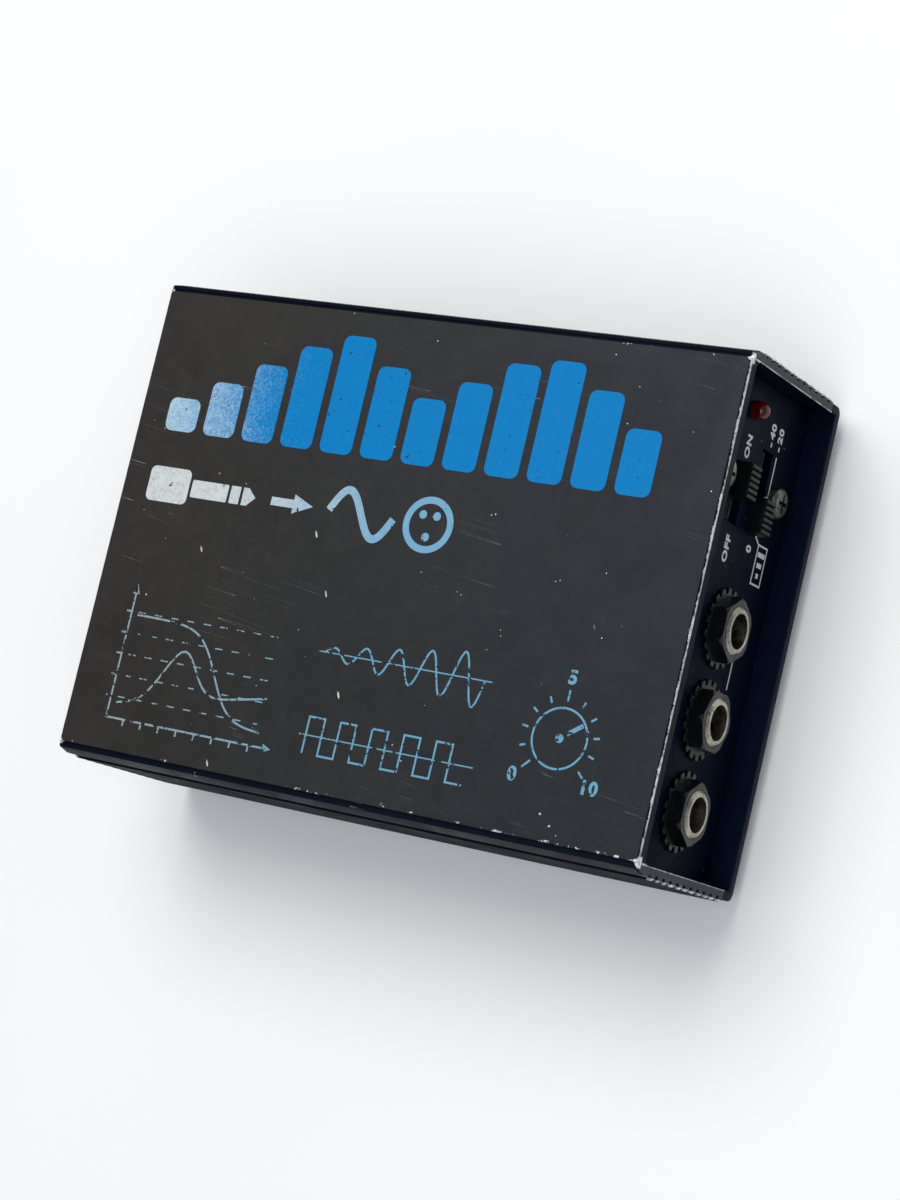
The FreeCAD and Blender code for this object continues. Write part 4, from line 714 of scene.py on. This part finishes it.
def level_bars():
    """A row of level bars across the upper part of the plate, silver at its left end and blue beyond; the
    silver is a painted reflection.
    """
    design = Print()
    heights = (6.5, 10.5, 15.0, 19.5, 22.5, 17.5, 12.5, 16.5, 21.0, 22.5, 18.0, 12.0)
    pitch = 8.9
    width = 7.1
    rounding = 1.5
    left = -56.0
    base = 17.5
    for number, height in enumerate(heights):
        start = left + number * pitch
        design.block(start, start + width, base, base + height, rounding)
    material = ink("bar_ink", SILVER_BLUE, BLUE, -0.058, -0.022, 0.66)
    design.lay("print_level_bars", on_top, material)


def wave(left, right, y, first, last, turns):
    """Points along a sine wave whose height goes evenly from first to last."""
    points = []
    for step in range(WAVE_STEPS * turns + 1):
        share = step / (WAVE_STEPS * turns)
        height = first + (last - first) * share
        turn = 2 * math.pi * step / WAVE_STEPS
        points.append((left + (right - left) * share, y + height * math.sin(turn)))
    return points


def signal_strip():
    """A strip under the bars, silver shading to blue as a painted reflection: a plug, an arrow, a wave and
    a three-hole socket.
    """
    design = Print()
    y = 7.0
    design.block(-56.5, -47.0, y - 3.4, y + 3.4, 1.2)
    design.block(-46.4, -38.0, y - 1.7, y + 1.7, 0.3)
    design.block(-37.4, -35.2, y - 1.7, y + 1.7, 0.2)
    design.shape([(-34.6, y - 1.7), (-33.4, y - 1.7), (-31.6, y), (-33.4, y + 1.7), (-34.6, y + 1.7)])
    design.block(-28.0, -22.5, y - 0.8, y + 0.8)
    design.arrow((-18.6, y), (1, 0), 4.4)
    design.stroke(wave(-15.0, -1.0, y, 4.2, 4.2, 1), 1.5)
    socket_x = 6.5
    hole_ring = 2.3
    design.ring((socket_x, y), 4.6, 1.3)
    for angle in (50, 130, 270):
        turn = math.radians(angle)
        design.disc((socket_x + hole_ring * math.cos(turn), y + hole_ring * math.sin(turn)), 0.8)
    # painted reflection: the strip's silver turns blue along X
    material = ink("strip_ink", SILVER, (0.16, 0.36, 0.52), -0.045, 0.010, 0.64, 0.25)
    design.lay("print_signal_strip", on_top, material)


def response_chart(design):
    """Two axes with ticks and a dashed grid, a falling curve and a humped one."""
    left, right, low, high = -53.0, -17.0, -38.5, -14.5
    design.stroke([(left, high), (left, low), (right, low)], FINE_LINE)
    design.arrow((left, high + 1.8), (0, 1), 1.9)
    design.arrow((right + 1.8, low), (1, 0), 1.9)
    for step in range(1, 9):
        x = left + 4.1 * step
        design.stroke([(x, low - 1.2), (x, low)], FINE_LINE)
    for step in range(1, 6):
        y = low + 4.1 * step
        design.stroke([(left - 1.2, y), (left, y)], FINE_LINE)
        for dash in range(9):
            x = left + 1.6 + 3.8 * dash
            design.stroke([(x, y), (x + 1.7, y)], HAIR_LINE)
    falling = []
    humped = []
    for step in range(CURVE_STEPS + 1):
        share = step / CURVE_STEPS
        x = left + 1.5 + (right - left - 3.0) * share
        falling.append((x, low + 2.5 + 17.5 / (1 + math.exp(13 * (share - 0.62)))))
        humped.append((x, low + 3.0 + 6.0 * share + 9.5 * math.exp(-((share - 0.38) / 0.15) ** 2)))
    design.stroke(falling, FINE_LINE)
    design.stroke(humped, FINE_LINE)


def wave_forms(design):
    """A swelling sine wave, and a square wave below it, each on its own middle line."""
    left, right, upper, lower = -8.5, 25.5, -19.0, -34.5
    for y in (upper, lower):
        design.stroke([(left - 1.5, y), (right + 1.5, y)], HAIR_LINE)
    design.stroke(wave(left, right, upper, 0.8, 5.2, 5), FINE_LINE)
    square = []
    pulses = 5
    pitch = (right - left) / pulses
    foot, head = lower - 3.4, lower + 3.4
    for pulse in range(pulses):
        x = left + pitch * pulse
        square += [(x, foot), (x, head), (x + pitch / 2, head), (x + pitch / 2, foot)]
    design.stroke(square + [(right, foot)], FINE_LINE)


def level_dial(design):
    """A round scale numbered from 0 to 10, with a pointer."""
    centre = Vector((42.5, -26.5))
    first_angle = 225
    turn_per_mark = 27
    pointed_at = 7
    design.ring(centre, 5.4, FINE_LINE)
    design.disc(centre, 0.8)
    for mark in range(11):
        turn = math.radians(first_angle - turn_per_mark * mark)
        away = Vector((math.cos(turn), math.sin(turn)))
        if mark == pointed_at:
            design.stroke([centre + 1.6 * away, centre + 5.0 * away], 0.8)
        if mark % 5:
            design.stroke([centre + 6.6 * away, centre + 7.8 * away], FINE_LINE)
            continue
        design.stroke([centre + 6.6 * away, centre + 8.6 * away], FINE_LINE)
        design.text(str(mark), centre + 10.8 * away, 3.4)


def measuring_print():
    """Fine lines across the plate's lower half: a chart, two wave forms and a dial."""
    design = Print()
    response_chart(design)
    wave_forms(design)
    level_dial(design)
    # painted reflection: the fine lines shade from grey at the left to blue along X
    material = ink("fine_ink", (0.29, 0.36, 0.39), (0.14, 0.33, 0.47), -0.05, 0.01, 0.56, 0.2, 0.03)
    design.lay("print_measuring_lines", on_top, material)


def row_of(node):
    """A part's height above the floor, in millimetres."""
    return centre_of(node).z / MM


LETTER_SIZE = 2.6


def input_marks():
    """Numbers, ON and OFF, and fine lines round the input panel's switches and jacks."""
    design = Print()
    upper = row_of("power_knob")
    lower = row_of("attenuator_knob")
    design.text("ON", (32.3, upper - 0.5), LETTER_SIZE)
    design.text("OFF", (13.6, upper - 0.8), LETTER_SIZE)
    design.text("0", (15.6, lower - 0.9), LETTER_SIZE)
    design.text("- 40", (36.6, lower - 0.4), LETTER_SIZE)
    design.text("- 20", (36.6, lower - 3.9), LETTER_SIZE)
    design.stroke([(33.4, lower - 3.9), (25.9, lower - 3.9), (25.5, lower - 2.7)], PANEL_LINE)
    design.stroke([(18.6, lower - 2.2), (17.2, lower - 4.5)], PANEL_LINE)
    design.frame(10.1, 17.2, lower - 8.6, lower - 4.6, PANEL_LINE)
    for step in range(3):
        reach = 0.5 + 0.5 * step
        x = 11.8 + 1.9 * step
        design.block(x - 0.45, x + 0.45, lower - 6.6 - reach, lower - 6.6 + reach)
    first, second = (centre_of(name).y / MM for name in ("input_jack_bushing", "thru_jack_bushing"))
    low = row_of("input_jack_bushing") - 7.9
    design.stroke([(first - 4.7, low), (second + 6.9, low)], PANEL_LINE)
    material = ink("panel_ink", PANEL_WHITE, PANEL_WHITE, 0.0, 0.1, 0.72)
    design.lay("print_input_marks", on_input, material)


def output_marks():
    """Numbers, ON and OFF, and fine lines on the output panel."""
    design = Print()
    upper = row_of("phase_knob")
    lower = row_of("ground_lift_knob")
    middle = 14.0
    design.text("0", (middle - 8.6, upper), LETTER_SIZE)
    design.text("180", (middle + 9.8, upper), LETTER_SIZE)
    design.text("OFF", (middle - 9.8, lower), LETTER_SIZE)
    design.text("ON", (middle + 9.3, lower), LETTER_SIZE)
    socket = centre_of("xlr_shell")
    for side in (-1, 1):
        edge = -socket.y / MM + side * 14.6
        design.stroke([(edge, socket.z / MM - 12.0), (edge, socket.z / MM + 12.0)], PANEL_LINE)
    material = ink("output_panel_ink", PANEL_WHITE, PANEL_WHITE, 0.0, 0.1, 0.72)
    design.lay("print_output_marks", on_output, material)


# ======================================================================= Studio
def studio():
    """A plain pale floor, soft lights and a pale surround."""
    mesh = bpy.data.meshes.new("floor")
    reach = 3.0
    corners = [(-reach, -reach, 0), (reach, -reach, 0), (reach, reach, 0), (-reach, reach, 0)]
    mesh.from_pydata(corners, [], [(0, 1, 2, 3)])
    floor = bpy.data.objects.new("floor", mesh)
    bpy.context.scene.collection.objects.link(floor)
    f = Finish("floor_paper")
    tone = f.mix(f.noise(8, 3), (0.86, 0.865, 0.87), (0.90, 0.905, 0.91))
    mesh.materials.append(f.done(f.surface(tone, 0.85, 0.0, f.bump(f.noise(500), 0.05, 0.1 * MM))))
    world = bpy.data.worlds.new("surround")
    world.use_nodes = True
    world.node_tree.nodes["Background"].inputs["Color"].default_value = (0.93, 0.96, 1.0, 1.0)
    world.node_tree.nodes["Background"].inputs["Strength"].default_value = 0.36
    bpy.context.scene.world = world
    lamps = (
        ("key", (-0.10, 0.50, 1.10), 0.90, 9.5, (1.0, 0.985, 0.965)),
        ("fill", (0.45, -0.35, 1.05), 0.90, 5.0, (0.93, 0.96, 1.0)),
    )
    for name, place, size, power, color in lamps:
        data = bpy.data.lights.new(name, "AREA")
        data.shape = "DISK"
        data.size = size
        data.energy = power
        data.color = color
        lamp = bpy.data.objects.new(name, data)
        lamp.location = place
        lamp.rotation_euler = (-Vector(place)).to_track_quat("-Z", "Y").to_euler()
        bpy.context.scene.collection.objects.link(lamp)


def camera():
    """The viewing angle: above the jack end, rolled so that the case lies along the picture."""
    place = Vector((0.29202, -0.06544, 0.51254))
    aim = Vector((0.00126, -0.00294, 0.0225))
    roll = math.radians(-66.31)
    data = bpy.data.cameras.new("camera")
    data.lens = 91.8
    data.sensor_width = 36.0
    data.clip_start = 0.01
    view = bpy.data.objects.new("camera", data)
    turn = (aim - place).to_track_quat("-Z", "Y").to_matrix() @ Matrix.Rotation(roll, 3, "Z")
    view.matrix_world = Matrix.Translation(place) @ turn.to_4x4()
    bpy.context.scene.collection.objects.link(view)
    bpy.context.scene.camera = view
    bpy.context.scene.view_settings.view_transform = "Standard"


paint_cad_nodes()
soften_edges("case_cover", 0.12 * MM)
soften_edges("bottom_cover", 0.2 * MM)
for knob in ("power_knob", "attenuator_knob", "phase_knob", "ground_lift_knob"):
    soften_edges(knob, 0.12 * MM, 3)
soften_edges("jack_nuts", 0.12 * MM)
soften_edges("jack_washers", 0.08 * MM)
level_bars()
signal_strip()
measuring_print()
input_marks()
output_marks()
studio()
camera()
